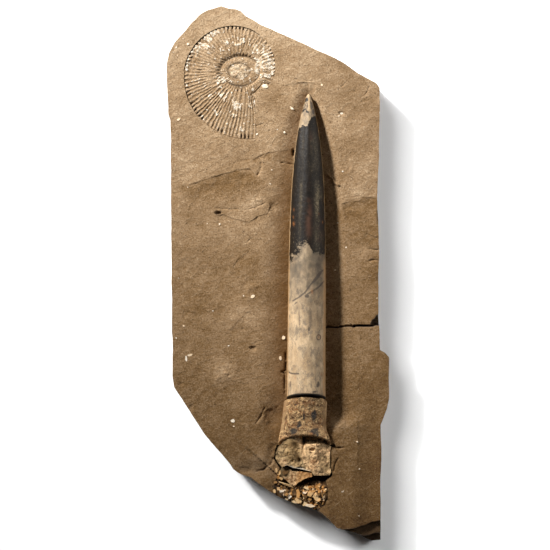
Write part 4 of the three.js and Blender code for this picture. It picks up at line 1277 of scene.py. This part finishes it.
def ammoniteTree(material):
    tree, size = newTree("ammoniteShape", ammonite)
    grid, along, row = flatGrid(tree, size["columns"], size["rows"])
    back = along * math.tau
    mouth = size["mouthAngle"] * (math.pi / 180)
    cosine, sine = calc("COSINE", mouth - back), calc("SINE", mouth - back)

    def grown(turned):
        return size["radius"] * calc("EXPONENT", size["growth"] * turned * -1.0)

    def ovalRadius(halfX, halfY):
        wide, tall = calc("ABSOLUTE", cosine) / halfX, calc("ABSOLUTE", sine) / halfY
        return (wide ** 2.0 + tall ** 2.0) ** -0.5

    coil = grown(back)
    edge = size["radius"] * calc("COSINE", mouth) / calc("MAXIMUM", cosine, 0.05)
    edge = calc("MAXIMUM", coil, calc("MINIMUM", edge, size["radius"]))
    outer = coil + calc("GREATER_THAN", back, 5.6) * (edge - coil)
    seam = ovalRadius(size["seamX"], size["seamY"]) + size["seamShift"] * cosine
    core = ovalRadius(size["coreX"], size["coreY"])
    inHeart = remap(row, 0.0, size["coreRow"])
    inSecond = remap(row, size["coreRow"], size["seamRow"])
    across = remap(row, size["seamRow"], size["rimRow"])
    isFoot = remap(row, size["rimRow"], size["footRow"])
    radius = core * inHeart + (seam - core) * inSecond + (outer - seam) * across
    radius = radius + outer * remap(row, size["footRow"], 1.0, 0.0, -1.0)
    placeX, placeY = radius * cosine + size["centreX"], radius * sine + size["centreY"]
    spot = vector(placeX, placeY)
    uneven, ripple = noise(spot, 7.0, 2.0) - 0.5, noise(spot, 3.0, 2.0) - 0.5
    # ribs, counted along the back of the coil
    coiled = back - calc("GREATER_THAN", back, 5.3) * math.tau
    fade = calc("EXPONENT", calc("MAXIMUM", coiled, 0.0) * -1.0 / size["sweepFade"])
    reached = remap((radius - seam) / (grown(coiled) - seam), 0.0, 1.0)
    ahead = (1.0 - reached) ** 1.2 * size["ribSweep"] * (math.pi / 180) * fade
    arc = (size["radius"] - grown(coiled + ahead)) / size["growth"]
    phase = arc / size["ribSpacing"] * math.tau + uneven * 6.0 + ripple * 3.0
    split = remap(across, 0.25, 0.45)
    coarse = calc("SINE", phase * 0.5)
    wave = calc("SINE", phase) * split + coarse * (1.0 - split)
    onFlank = remap(across, 0.03, 0.12) * remap(across, 0.96, 1.0, 1.0, 0.2)
    ribs = wave * size["ribHeight"] * onFlank * (0.75 + uneven * 2.0)
    crown = calc("SINE", across ** 0.6 * math.pi) * size["whorlRise"]
    last = remap(across, 0.0, coarse * 0.04 + 0.12) * (size["sunk"] + crown)
    dome = calc("SINE", inSecond ** 0.8 * math.pi)
    fine = calc("SINE", back * 46.0) * remap(inSecond, 0.45, 0.2) * remap(sine, 0.0, -0.6) * 0.28
    blunt = calc("SINE", back * 19.0 + uneven * 8.0) * remap(inSecond, 0.4, 0.8) * 0.1
    second = dome * (fine + blunt + 0.55) * (1.0 - calc("GREATER_THAN", across, 0.0))
    heart = size["heartRise"] * (1.0 - inHeart ** 2.0)
    rise = size["face"] - size["sunk"] + last + ribs + second + heart
    height = rise * (1.0 - isFoot) + size["base"] * isFoot
    for label, value in (("across", across), ("wave", wave), ("row", row)):
        grid = stored(grid, label, value)
    return endTree(closedAt(grid, vector(placeX, placeY, height), 0.001), material)


def makeAmmonite(material):
    piece, points = runTree("ammoniteCast", ammoniteTree(material), ammonite)
    x, y, z = points.T
    across, wave, row = np.empty((3, len(x)))
    for label, values in (("across", across), ("wave", wave), ("row", row)):
        piece.data.attributes[label].data.foreach_get("value", values)
        piece.data.attributes.remove(piece.data.attributes[label])
    turned = np.degrees(np.arctan2(y - ammonite["centreY"], x - ammonite["centreX"]))
    top = row < ammonite["rimRow"] + 0.004
    inHeart = 1 - smooth(row, 0.09, 0.13)
    isLast = row > ammonite["seamRow"]
    # pits between the ribs along the back, in three stretches
    rows = between(turned, 66, 84, 112, 120) * (0.5 + 0.5 * smooth(turned, 78, 84))
    lowerLeft = between(-turned, 100, 110, 162, 172) * np.clip(0.6 + 0.7 * wavy(turned, 12, 2, 601), 0, 1)
    rows = np.maximum(np.maximum(rows, lowerLeft), 0.8 * between(turned, -90, -88, -82, -80))
    rows = rows * np.clip(0.8 + 2.2 * wavy(turned, 6, 2, 609), 0, 1.7)
    pit = rows * smooth(-wave, 0.2, 0.9) * bell(across, 0.95, 0.03)
    inner = 0.65 * smooth(-wave, 0.2, 0.8) * bell(across, 0.09, 0.03) * between(-turned, 40, 60, 96, 110)
    pit = np.maximum(pit, inner) * isLast
    # crushed flank, coarser ribs at the lower left, worn ribs elsewhere
    coarse = mound(x, y, -44, 104, 11, 14)
    worn = 0.12 * smooth(grainy(x, y, 8, 3, 602), -0.1, 0.5) * (1 - coarse) + 0.06 * smooth(y, 112, 124)
    flank = isLast * smooth(across, 0.06, 0.12)
    crumple = mound(x, y, -41, 132, 10, 6) + mound(x, y, -52, 124, 4, 9)
    relief = 0.2 * grainy(x, y, 3.4, 4, 603) - worn * wave
    relief = relief + 0.26 * coarse * (np.abs(grainy(x + y, x - y, 3.2, 3, 604)) * 2 - 0.6)
    relief = relief + 0.65 * crumple * grainy(x + 0.5 * y, (y - x) * 0.35, 2, 3, 605)
    relief = flank * relief + 0.1 * grainy(x, y, 1.5, 2, 607)
    relief = relief + inHeart * 0.55 * grainy(x, y, 1.7, 3, 608) - 1.2 * pit
    beads = np.maximum((x < -30) & (y > 108), between(turned, -22, -10, 48, 60))
    beads = beads * isLast * smooth(across, 0.86, 0.92)
    relief = relief + beads * 0.35 * smooth(wave, -0.2, 0.8)
    meeting = smooth(x + 0.8 * grainy(x, y, 3, 2, 610), -15.4, -13.6) * (turned < -45) * isLast
    relief = relief * (1 - 0.6 * meeting) + meeting * (0.28 + 0.35 * grainy(x, y, 2.6, 3, 616))
    shell = 0.8 * beads * smooth(wave, -0.4, 0.6) * (x > -30)
    for *place, strength in ammonite["patches"]:
        shell = np.maximum(shell, strength * oval(x, y, *place, core=0.3, rim=1.3))
    patchy = 0.85 * grainy(x, y, 1.7, 4, 611) + 0.1 * np.clip(wave, -1, 1)
    shell = smooth(shell + (1 - 0.9 * smooth(shell, 0.88, 0.98)) * patchy, 0.4, 0.8)
    shell = shell * (1 - np.clip(pit * 2, 0, 1))
    under = buried(x, y)
    sunk = 0.3 * smooth(under, 0, 0.05) + 1.4 * smooth(under, 0.08, 0.6)
    points[:, 2] = np.where(top, np.clip(z + relief + 0.14 * shell - sunk, 16.8, 20.35), z)
    movePoints(piece, points)
    # painted shade in the pits, the furrows between ribs, along the seam and round the heart, with painted
    # shadow lines along the rim at the upper left and inside the last whorl's inner edge below
    shadow = 1.3 * pit + 0.16 * smooth(-wave, 0, 0.9) * smooth(across, 0.1, 0.3) * isLast
    seamLine = bell(row, ammonite["seamRow"], 0.012) * (0.35 + 0.65 * between(-turned, -10, 20, 120, 150))
    shadow = shadow + 0.9 * seamLine + 0.5 * bell(row, ammonite["coreRow"], 0.012)
    shadow = shadow + 0.5 * bell(across, 1, 0.012) * smooth(turned, 40, 80) * isLast
    shadow = shadow + 0.35 * bell(across, 0.035, 0.02) * between(-turned, 45, 70, 100, 130) * isLast
    cream = np.clip(inHeart * (0.6 + mounds(x, y, ammonite["cream"])), 0, 1)
    tone = 0.73 + 0.07 * smooth(y, 118, 140) + 0.13 * grainy(x, y, 9, 3, 613)
    # rib crests painted paler and furrows darker on the flank: painted light and shade along the ribs
    tone = tone + (0.16 - 0.07 * smooth(y, 112, 124)) * wave * flank
    paintPoints(piece, shell=shell * top, cream=cream * top, deep=np.clip(shadow, 0, 1), tone=tone,
                rusty=0.25 * smooth(grainy(x, y, 4, 3, 615), 0.2, 0.6))
    smoothFaces(piece.data, True)
    dress(piece, material, "ammonite_shell", "ammonite")


# Flecks of white shell strewn over the shale

flecks = {
    "density": 0.0,
    "chipSize": 1.0,
    "largest": 1.0,
    "seed": 4,
    "facets": 6,
    "thickness": 0.22,
    "places": [    # x, y, half length, half width, turn
        (-59.5, 93, 1.5, 1, 25), (-54, 138, 0.9, 0.8, 0), (-61, 136, 0.5, 0.5, 0),
        (26.5, 113.5, 0.9, 0.6, 10), (4, 85, 0.9, 0.7, 0), (-12.5, 84, 0.8, 0.6, 20),
        (-48.5, 65.5, 0.6, 0.5, 0), (-4.5, 54, 0.7, 0.5, 0), (-3.5, 62.5, 0.6, 0.5, 0),
        (-35, 30, 0.7, 0.5, 0), (-42.5, 30.5, 0.5, 0.4, 0), (-54, 52, 0.5, 0.5, 0),
        (-15, -13.5, 1.6, 1.2, 30), (-20.5, -13, 0.6, 0.5, 0), (-59.5, -2.5, 0.5, 0.5, 0),
        (-56.5, -31, 0.6, 0.5, 0), (-61, -38.5, 0.5, 0.5, 0), (-29.5, -43, 0.7, 0.6, 0),
        (3.4, -38.2, 1.4, 1.3, 20), (1.6, -50.6, 0.9, 1.7, 10), (-27, -88, 1.7, 1.3, 0),
        (-26.5, -91.5, 0.6, 0.4, 0), (34.5, 2.5, 0.6, 0.4, 0), (41, 16, 0.6, 0.5, 0),
        (59.5, -14.5, 0.5, 0.5, 0), (36, 30.5, 0.6, 0.4, 0), (39, 61.5, 0.6, 0.4, 0),
        (48.5, -145, 0.8, 0.6, 0), (39, -130.5, 0.9, 0.6, 20), (-54.8, -51, 0.8, 2.6, 8),
        (-52.8, -48.6, 1.9, 0.8, 15), (8, 99.5, 1.8, 1, -15), (38.4, 96.6, 1.3, 0.9, 10),
        (36.8, 94.8, 0.8, 0.6, 0), (-57, 141, 0.4, 0.4, 0), (-62.5, 133, 0.5, 0.4, 0),
        (-60, 131, 0.4, 0.4, 0), (-7.8, 112.6, 2.3, 1.6, -8), (-0.5, 86.8, 0.6, 0.4, 0),
        (47.5, -100.6, 0.7, 0.5, 0), (49, -117, 0.6, 0.5, 0), (-39, -22, 0.4, 0.4, 0),
        (52, 88, 0.5, 0.4, 0),
    ],
}


def makeFlecks(material):
    height = slabHeight(*np.array(flecks["places"])[:, :2].T)
    stones = [(x, y, z + 0.02, 0.85 * long, 0.85 * wide, flecks["thickness"], turn, 0.94 + 0.03 * (k % 3))
              for k, ((x, y, long, wide, turn), z) in enumerate(zip(flecks["places"], height))]
    dress(makeChips("shellFlecks", flecks, material, stones)[0], material, "pale_calcite")


# Materials: every colour is red, green and blue from 0 to 255

shaleLook = {
    "tones": [    # from the darkest stone to the palest
        (0.0, (80, 54, 27)), (0.3, (113, 84, 48)), (0.75, (160, 131, 98)), (1.0, (196, 168, 134)),
    ],
    "rust": (102, 69, 28),
    # dark colour of the painted shade
    "darkAndShade": (44, 33, 23),
    "speck": (196, 170, 136),
    "dot": (66, 48, 30),
    "bedDark": (80, 64, 48),
    "bedLight": (148, 120, 90),
    "shell": (236, 224, 204),
    "shellShade": (200, 172, 136),
    "heart": (226, 204, 172),
    "grain": 0.95,          # width of the grain
    "flake": 3.4,           # width of the larger flakes
    "chip": 1.5,            # and of the smaller ones
    "relief": 0.21,
}


def shaleMaterial(name, isShell=False):
    material, tree, where = startMaterial(name)
    look = shaleLook
    shade, rusty, deep = masks(tree, "tone", "rusty", "deep")
    grain = noise(where, look["grain"], 5, 0.75)
    patch = noise(where, 4.5, 4, 0.6, 0.4)
    streak = noise(stretched(where, 0.3, 1, 1, 12), 1.6, 4, 0.65)
    flake = spots(stretched(where, 0.5, 1, 1, 20), look["flake"], 4, 0.65, 0.5, 0.515)
    chip = spots(stretched(where, 0.7, 1, 1, -30), look["chip"], 3, 0.6, 0.57, 0.59)
    tone = shade + 0.03 + swing(noise(where, 24, 5), 0.3) + swing(grain, 1.4) + swing(flake, 0.07)
    tone = tone + swing(chip, 0.1) + swing(patch, 0.26) + swing(streak, 0.22)
    # split beds on the broken sides
    level = calc("ABSOLUTE", axes(addNode(tree, "ShaderNodeNewGeometry", outlet="Normal"))[2])
    side = remap(level, 0.6, 0.25)
    beds = noise(stretched(where, 0.03, 0.03, 1), 1.3, 4, 0.7)
    base = layered(rampOf(tone, look["tones"]),
                   (spots(where, 0.6, 2, 0.5, 0.66, 0.72, 0.5), look["speck"]),
                   (spots(where, 1.3, 2, 0.5, 0.33, 0.29, 0.7), look["dot"]),
                   (spots(stretched(where, 0.08, 1.1, 1, 38), 1.0, 2, 0.5, 0.66, 0.74, 0.25), look["speck"]),
                   (rusty * remap(streak, 0.3, 0.6, 0.5, 0.9), look["rust"]),
                   (side * 0.8, mixed(remap(beds, 0.36, 0.64), look["bedDark"], look["bedLight"])))
    relief = grain * 1.5 + streak * 0.4 + patch * 0.7 + flake * 0.5 + chip * 0.4 + beds * side * 2.0
    if isShell:
        shell, cream = masks(tree, "shell", "cream")
        shell = remap(shell + swing(noise(where, 0.9, 4, 0.7), 2.4), 0.42, 0.66)
        shell = calc("MAXIMUM", shell, spots(where, 1.0, 3, 0.6, 0.6, 0.66, 0.7))
        white = mixed(spots(where, 1.2, 3, 0.6, 0.42, 0.58), look["shellShade"], look["shell"])
        cream = cream * spots(where, 1.1, 3, 0.6, 0.38, 0.6, 0.85)
        base = layered(base, (cream, look["heart"]), (shell, white))
        relief = relief + shell * 0.8
    # the painted shade mask darkens the colour last
    return endMaterial(material, mixed(deep, base, look["darkAndShade"]), 0.88, 0.25, relief, look["relief"])


guardLook = {
    "pale": (212, 184, 147),
    "tan": (178, 149, 114),
    "dark": (22, 16, 10),
    "grain": (54, 43, 30),
    # colour of the painted highlights
    "band": (140, 124, 96),
    "glint": (126, 110, 84),
    "brown": (82, 56, 42),
    "stain": (82, 72, 64),
    "mottle": (126, 112, 96),
    "rust": (168, 104, 54),
    "cream": (214, 182, 138),
    "rim": (168, 134, 92),
    "edging": (190, 146, 98),
    "shade": (104, 92, 76),
    # dark colour, for dark blotches and for the painted shade on the end face
    "darkAndShade": (20, 15, 11),
    "relief": 0.14,
}


def guardMaterial():
    material, tree, where = startMaterial("guardCalcite")
    look = guardLook
    shade, stain, edging, bands, brown = masks(tree, "shade", "stain", "edging", "bands", "brown")
    dark, rim, rust, cream, deep = masks(tree, "dark", "rim", "rust", "cream", "deep")
    streak = noise(stretched(where, 1, 0.12, 1), 1.1, 4, 0.65)
    grain = noise(where, 0.6, 4, 0.7)
    cloud = noise(stretched(where, 1, 0.4, 1), 5, 5, 0.65, 0.4)
    glints = noise(where, 1.3, 4, 0.85)
    stained = remap(stain + swing(grain, 0.8), 0.3, 0.7) * remap(stain, 0.05, 0.3)
    paleSkin = layered(mixed(remap(cloud, 0.38, 0.62), look["tan"], look["pale"]),
                       (remap(streak, 0.5, 0.7, 0.0, 0.5), look["tan"]),
                       (remap(grain, 0.55, 0.72, 0.0, 0.6), look["cream"]),
                       (spots(stretched(where, 1, 0.55, 1), 3.4, 5, 0.8, 0.5, 0.6, 0.7), look["mottle"]),
                       (spots(where, 0.9, 3, 0.6, 0.62, 0.68, 0.6), look["stain"]),
                       (spots(where, 1.2, 4, 0.8, 0.56, 0.62, 0.55), look["cream"]),
                       (shade, look["shade"]),
                       (stained * 0.85, look["stain"]),
                       (edging * remap(streak, 0.38, 0.55, 0.3, 0.9), look["edging"]))
    # the dark skin, with painted highlights along its streaks and painted glints over it
    darkSkin = layered(mixed(remap(grain, 0.5, 0.66, 0.0, 0.6), look["dark"], look["grain"]),
                       (remap(cloud, 0.5, 0.38, 0.0, 0.7), look["darkAndShade"]),
                       (bands * remap(glints, 0.46, 0.64, 0.18, 0.7), look["band"]),
                       (remap(glints, 0.6, 0.68, 0.0, 0.6) * remap(cloud, 0.4, 0.6), look["glint"]),
                       (brown * 0.8, look["brown"]))
    edge = (dark + swing(grain, 1.2) + swing(noise(where, 3.0, 5, 0.8), 3.4)) * remap(dark, 0.02, 0.2)
    isDark = remap(edge + remap(dark, 0.8, 0.98), 0.38, 0.62)
    # the painted shade on the end face is laid on last
    base = layered(mixed(isDark, paleSkin, darkSkin),
                   (rim * remap(streak, 0.4, 0.55, 0.1, 0.9), look["rim"]),
                   (rust * remap(grain, 0.4, 0.6, 0.2, 1.0), look["rust"]),
                   (cream * remap(grain, 0.35, 0.55, 0.3, 1.0), look["cream"]),
                   (deep, look["darkAndShade"]))
    roughness = isDark * -0.08 + 0.6 + swing(grain, 0.3)
    return endMaterial(material, base, roughness, 0.24, grain + streak * 0.6, look["relief"])


collarLook = {
    "pit": (122, 83, 46),
    "crest": (244, 200, 140),
    "ochre": (164, 106, 54),
    "cream": (224, 194, 148),
    "curl": (66, 42, 24),
    "skinDark": (160, 120, 78),
    "skinPale": (204, 166, 118),
    "stain": (58, 54, 50),
    "rust": (190, 122, 62),
    "relief": 0.5,
}


def collarMaterial():
    material, tree, where = startMaterial("collarCalcite")
    look = collarLook
    skin, dark, rust = masks(tree, "skin", "dark", "rust")
    blotch = noise(where, 3.0, 5, 0.75, 1.5)
    curl = remap(calc("ABSOLUTE", noise(where, 2.6, 3, 0.6, 2.2) - 0.5), 0.035, 0.0, 0.0, 0.85)
    grain = noise(where, 0.55, 3, 0.6)
    rough = layered(mixed(remap(blotch, 0.42, 0.58), look["pit"], look["crest"]),
                    (spots(where, 4.2, 3, 0.6, 0.48, 0.6, 0.5), look["ochre"]),
                    (remap(grain, 0.56, 0.68, 0.0, 0.6), look["cream"]),
                    (curl, look["curl"]))
    smoothSkin = mixed(spots(where, 3.5, 4, 0.6, 0.35, 0.65), look["skinDark"], look["skinPale"])
    base = layered(mixed(remap(skin + swing(blotch, 0.7), 0.4, 0.6), rough, smoothSkin),
                   (dark * remap(grain, 0.66, 0.5, 0.5, 1.0), look["stain"]),
                   (rust * 0.7, look["rust"]))
    return endMaterial(material, base, 0.62, 0.4, blotch + grain * 0.5 - curl * 0.4, look["relief"])


blockLook = {
    "oliveDark": (132, 100, 60),
    "olivePale": (222, 186, 132),
    "lump": (140, 118, 86),
    "joint": (64, 48, 32),
    "creamDark": (118, 80, 46),
    "creamPale": (246, 204, 150),
    "grain": (232, 204, 164),
    "ochre": (150, 114, 66),
    "rust": (172, 110, 62),
    # colour of the painted shade
    "darkAndShade": (52, 42, 32),
    "lip": (206, 194, 174),
    "relief": 0.5,
}


def blockMaterial():
    material, tree, where = startMaterial("chamberFill")
    look = blockLook
    creamy, ochre, rust, deep, lip = masks(tree, "creamy", "ochre", "rust", "deep", "lip")
    blotch = noise(where, 1.7, 5, 0.72, 0.5)
    grain = noise(where, 0.6, 3, 0.6)
    bent = addNode(tree, "ShaderNodeTexNoise", {"Vector": where, "Scale": 0.5, "Detail": 3.0}, "Color")
    cells = {"Vector": vectorCalc("ADD", vectorCalc("SCALE", bent, Scale=3.0), where), "Scale": 0.2}
    lump = axes(addNode(tree, "ShaderNodeTexVoronoi", cells, "Color"))[0]
    joint = remap(addNode(tree, "ShaderNodeTexVoronoi", cells, feature="DISTANCE_TO_EDGE"), 0.09, 0.02)
    olive = layered(mixed(remap(blotch, 0.38, 0.62), look["oliveDark"], look["olivePale"]),
                    (lump * 0.6, look["lump"]),
                    (joint * 0.4, look["joint"]))
    cream = layered(mixed(remap(blotch, 0.38, 0.6), look["creamDark"], look["creamPale"]),
                    (remap(grain, 0.57, 0.68, 0.0, 0.7), look["grain"]))
    share = creamy + swing(grain, 0.6)
    # painted shade goes on over the chambers' colours
    base = layered(mixed(remap(share, 0.3, 0.7), olive, cream), (ochre * 0.6, look["ochre"]),
                   (rust * 0.6, look["rust"]), (deep * 0.7, look["darkAndShade"]), (lip * 0.8, look["lip"]))
    relief = blotch + grain * 0.5 - joint * remap(share, 0.5, 0.3)
    return endMaterial(material, base, 0.75, 0.3, relief, look["relief"])


wedgeLook = {
    "creamDark": (140, 97, 58),
    "creamPale": (240, 196, 142),
    "orangeDark": (160, 102, 50),
    "orangePale": (232, 176, 112),
    "grain": (238, 212, 172),
    "olive": (116, 94, 62),
    # colour of the painted shade
    "darkAndShade": (52, 40, 28),
    "relief": 0.4,
}


def wedgeMaterial():
    material, tree, where = startMaterial("orangeCalcite")
    look = wedgeLook
    isOrange, isOlive, deep = masks(tree, "orange", "olive", "deep")
    blotch = noise(where, 1.8, 5, 0.7, 0.4)
    grain = noise(where, 0.5, 3, 0.6)
    cream = mixed(remap(blotch, 0.42, 0.56), look["creamDark"], look["creamPale"])
    orange = mixed(remap(blotch, 0.4, 0.58), look["orangeDark"], look["orangePale"])
    # painted shade goes on over the wedge's colours
    base = layered(cream, (isOrange, orange), (remap(grain, 0.58, 0.72, 0.0, 0.5), look["grain"]),
                   (isOlive, look["olive"]), (deep * 0.6, look["darkAndShade"]))
    return endMaterial(material, base, 0.6, 0.4, blotch + grain * 0.4, look["relief"])


chipLook = {
    "tones": [    # tone, colour
        (0.0, (24, 18, 14)), (0.14, (50, 36, 24)), (0.3, (98, 72, 44)), (0.48, (156, 116, 70)),
        (0.62, (206, 146, 78)), (0.72, (212, 164, 106)), (0.86, (232, 198, 148)), (0.96, (240, 216, 186)),
        (1.0, (242, 230, 210)),
    ],
    "relief": 0.3,
}


def chipMaterial():
    material, tree, where = startMaterial("paleCalcite")
    blotch = noise(where, 1.3, 4, 0.7)
    tone = masks(tree, "chipTone")[0] + swing(blotch, 0.4)
    return endMaterial(material, rampOf(tone, chipLook["tones"]), 0.6, 0.2, blotch, chipLook["relief"])


# Floor, lights and camera

studio = {
    "floorWidth": 8.0,
    "floorTone": (0.86, 0.86, 0.86, 1),
    "keyWay": (-0.61, 0.59, 0.53),      # from the slab towards the key light
    "keyTarget": (-0.02, 0.145, 0.02),
    "keyDistance": 1.8,
    "keyPower": 345,
    "keyRadius": 0.12,
    "keyCone": 0.36,                     # whole angle, in radians
    "fillWay": (0.75, 0.35, 0.45),
    "fillTarget": (0, 0, 0.02),
    "fillDistance": 1.4,
    "fillPower": 6,
    "fillSize": 0.5,
    "floorKeyWay": (-0.48, 0.57, 0.67),
    "floorKeyStrength": 3.1,
    "floorKeyAngle": 0.5,               # radians that the light spans
    "floorFillWay": (0.55, 0.45, 0.7),
    "floorFillStrength": 0.6,
    "floorFillAngle": 0.8,
    "worldLight": 0.03,
    "cameraHeight": 2.2,                 # above the slab's face
    "cameraWidth": 0.33,                 # width of the view at the slab's face
    "cameraX": -0.00165,
    "cameraY": -0.0006,
}


def addLight(name, kind, way, distance, target, power, **settings):
    light = bpy.data.lights.new(name, kind)
    light.energy = power
    for label, value in settings.items():
        setattr(light, label, value)
    lamp = linked(name, light)
    way = Vector(way).normalized()
    lamp.location = Vector(target) + way * distance
    lamp.rotation_euler = way.to_track_quat("Z", "Y").to_euler()
    return lamp


def makeStudio():
    scene = bpy.context.scene
    scene.view_settings.view_transform = "Standard"
    scene.view_settings.look = "None"
    mesh = bpy.data.meshes.new("floor")
    half = studio["floorWidth"] / 2
    corners = [(-half, -half), (half, -half), (half, half), (-half, half)]
    mesh.from_pydata([(x, y, -0.0001) for x, y in corners], [], [(0, 1, 2, 3)])
    floor = linked("floor", mesh)
    material = startMaterial("floorPaper")[0]
    mesh.materials.append(endMaterial(material, studio["floorTone"], 0.9, 0.1))
    addLight("keyLight", "SPOT", studio["keyWay"], studio["keyDistance"], studio["keyTarget"],
             studio["keyPower"], shadow_soft_size=studio["keyRadius"], spot_size=studio["keyCone"],
             spot_blend=1.0)
    addLight("fillLight", "AREA", studio["fillWay"], studio["fillDistance"], studio["fillTarget"],
             studio["fillPower"], shape="DISK", size=studio["fillSize"])
    floorOnly = bpy.data.collections.new("floorOnly")
    floorOnly.objects.link(floor)
    for name in ("floorKey", "floorFill"):
        lamp = addLight(name, "SUN", studio[name + "Way"], studio["keyDistance"], (0, 0, 0),
                        studio[name + "Strength"], angle=studio[name + "Angle"])
        lamp.light_linking.receiver_collection = floorOnly
    world = bpy.data.worlds.new("studioAir")
    world.use_nodes = True
    feed(world.node_tree.nodes["Background"], {0: (1, 1, 1, 1), 1: studio["worldLight"]})
    scene.world = world
    camera = bpy.data.cameras.new("camera")
    camera.sensor_width = 36
    camera.lens = camera.sensor_width * studio["cameraHeight"] / studio["cameraWidth"]
    camera.clip_start = 0.05
    camera.clip_end = 20
    scene.camera = linked("camera", camera)
    height = slab["faceHeight"] * mm + studio["cameraHeight"]
    scene.camera.location = (studio["cameraX"], studio["cameraY"], height)
    print("studio made")


makeStudio()
makeSlab(shaleMaterial("shaleStone"))
makeGuard(guardMaterial())
makeCollar(collarMaterial())
makeBlock(blockMaterial())
makeWedge(wedgeMaterial())
paleCalcite = chipMaterial()
makeRubble(paleCalcite)
makeCrumbs(paleCalcite)
makeFlecks(paleCalcite)
makeAmmonite(shaleMaterial("ammoniteShell", isShell=True))
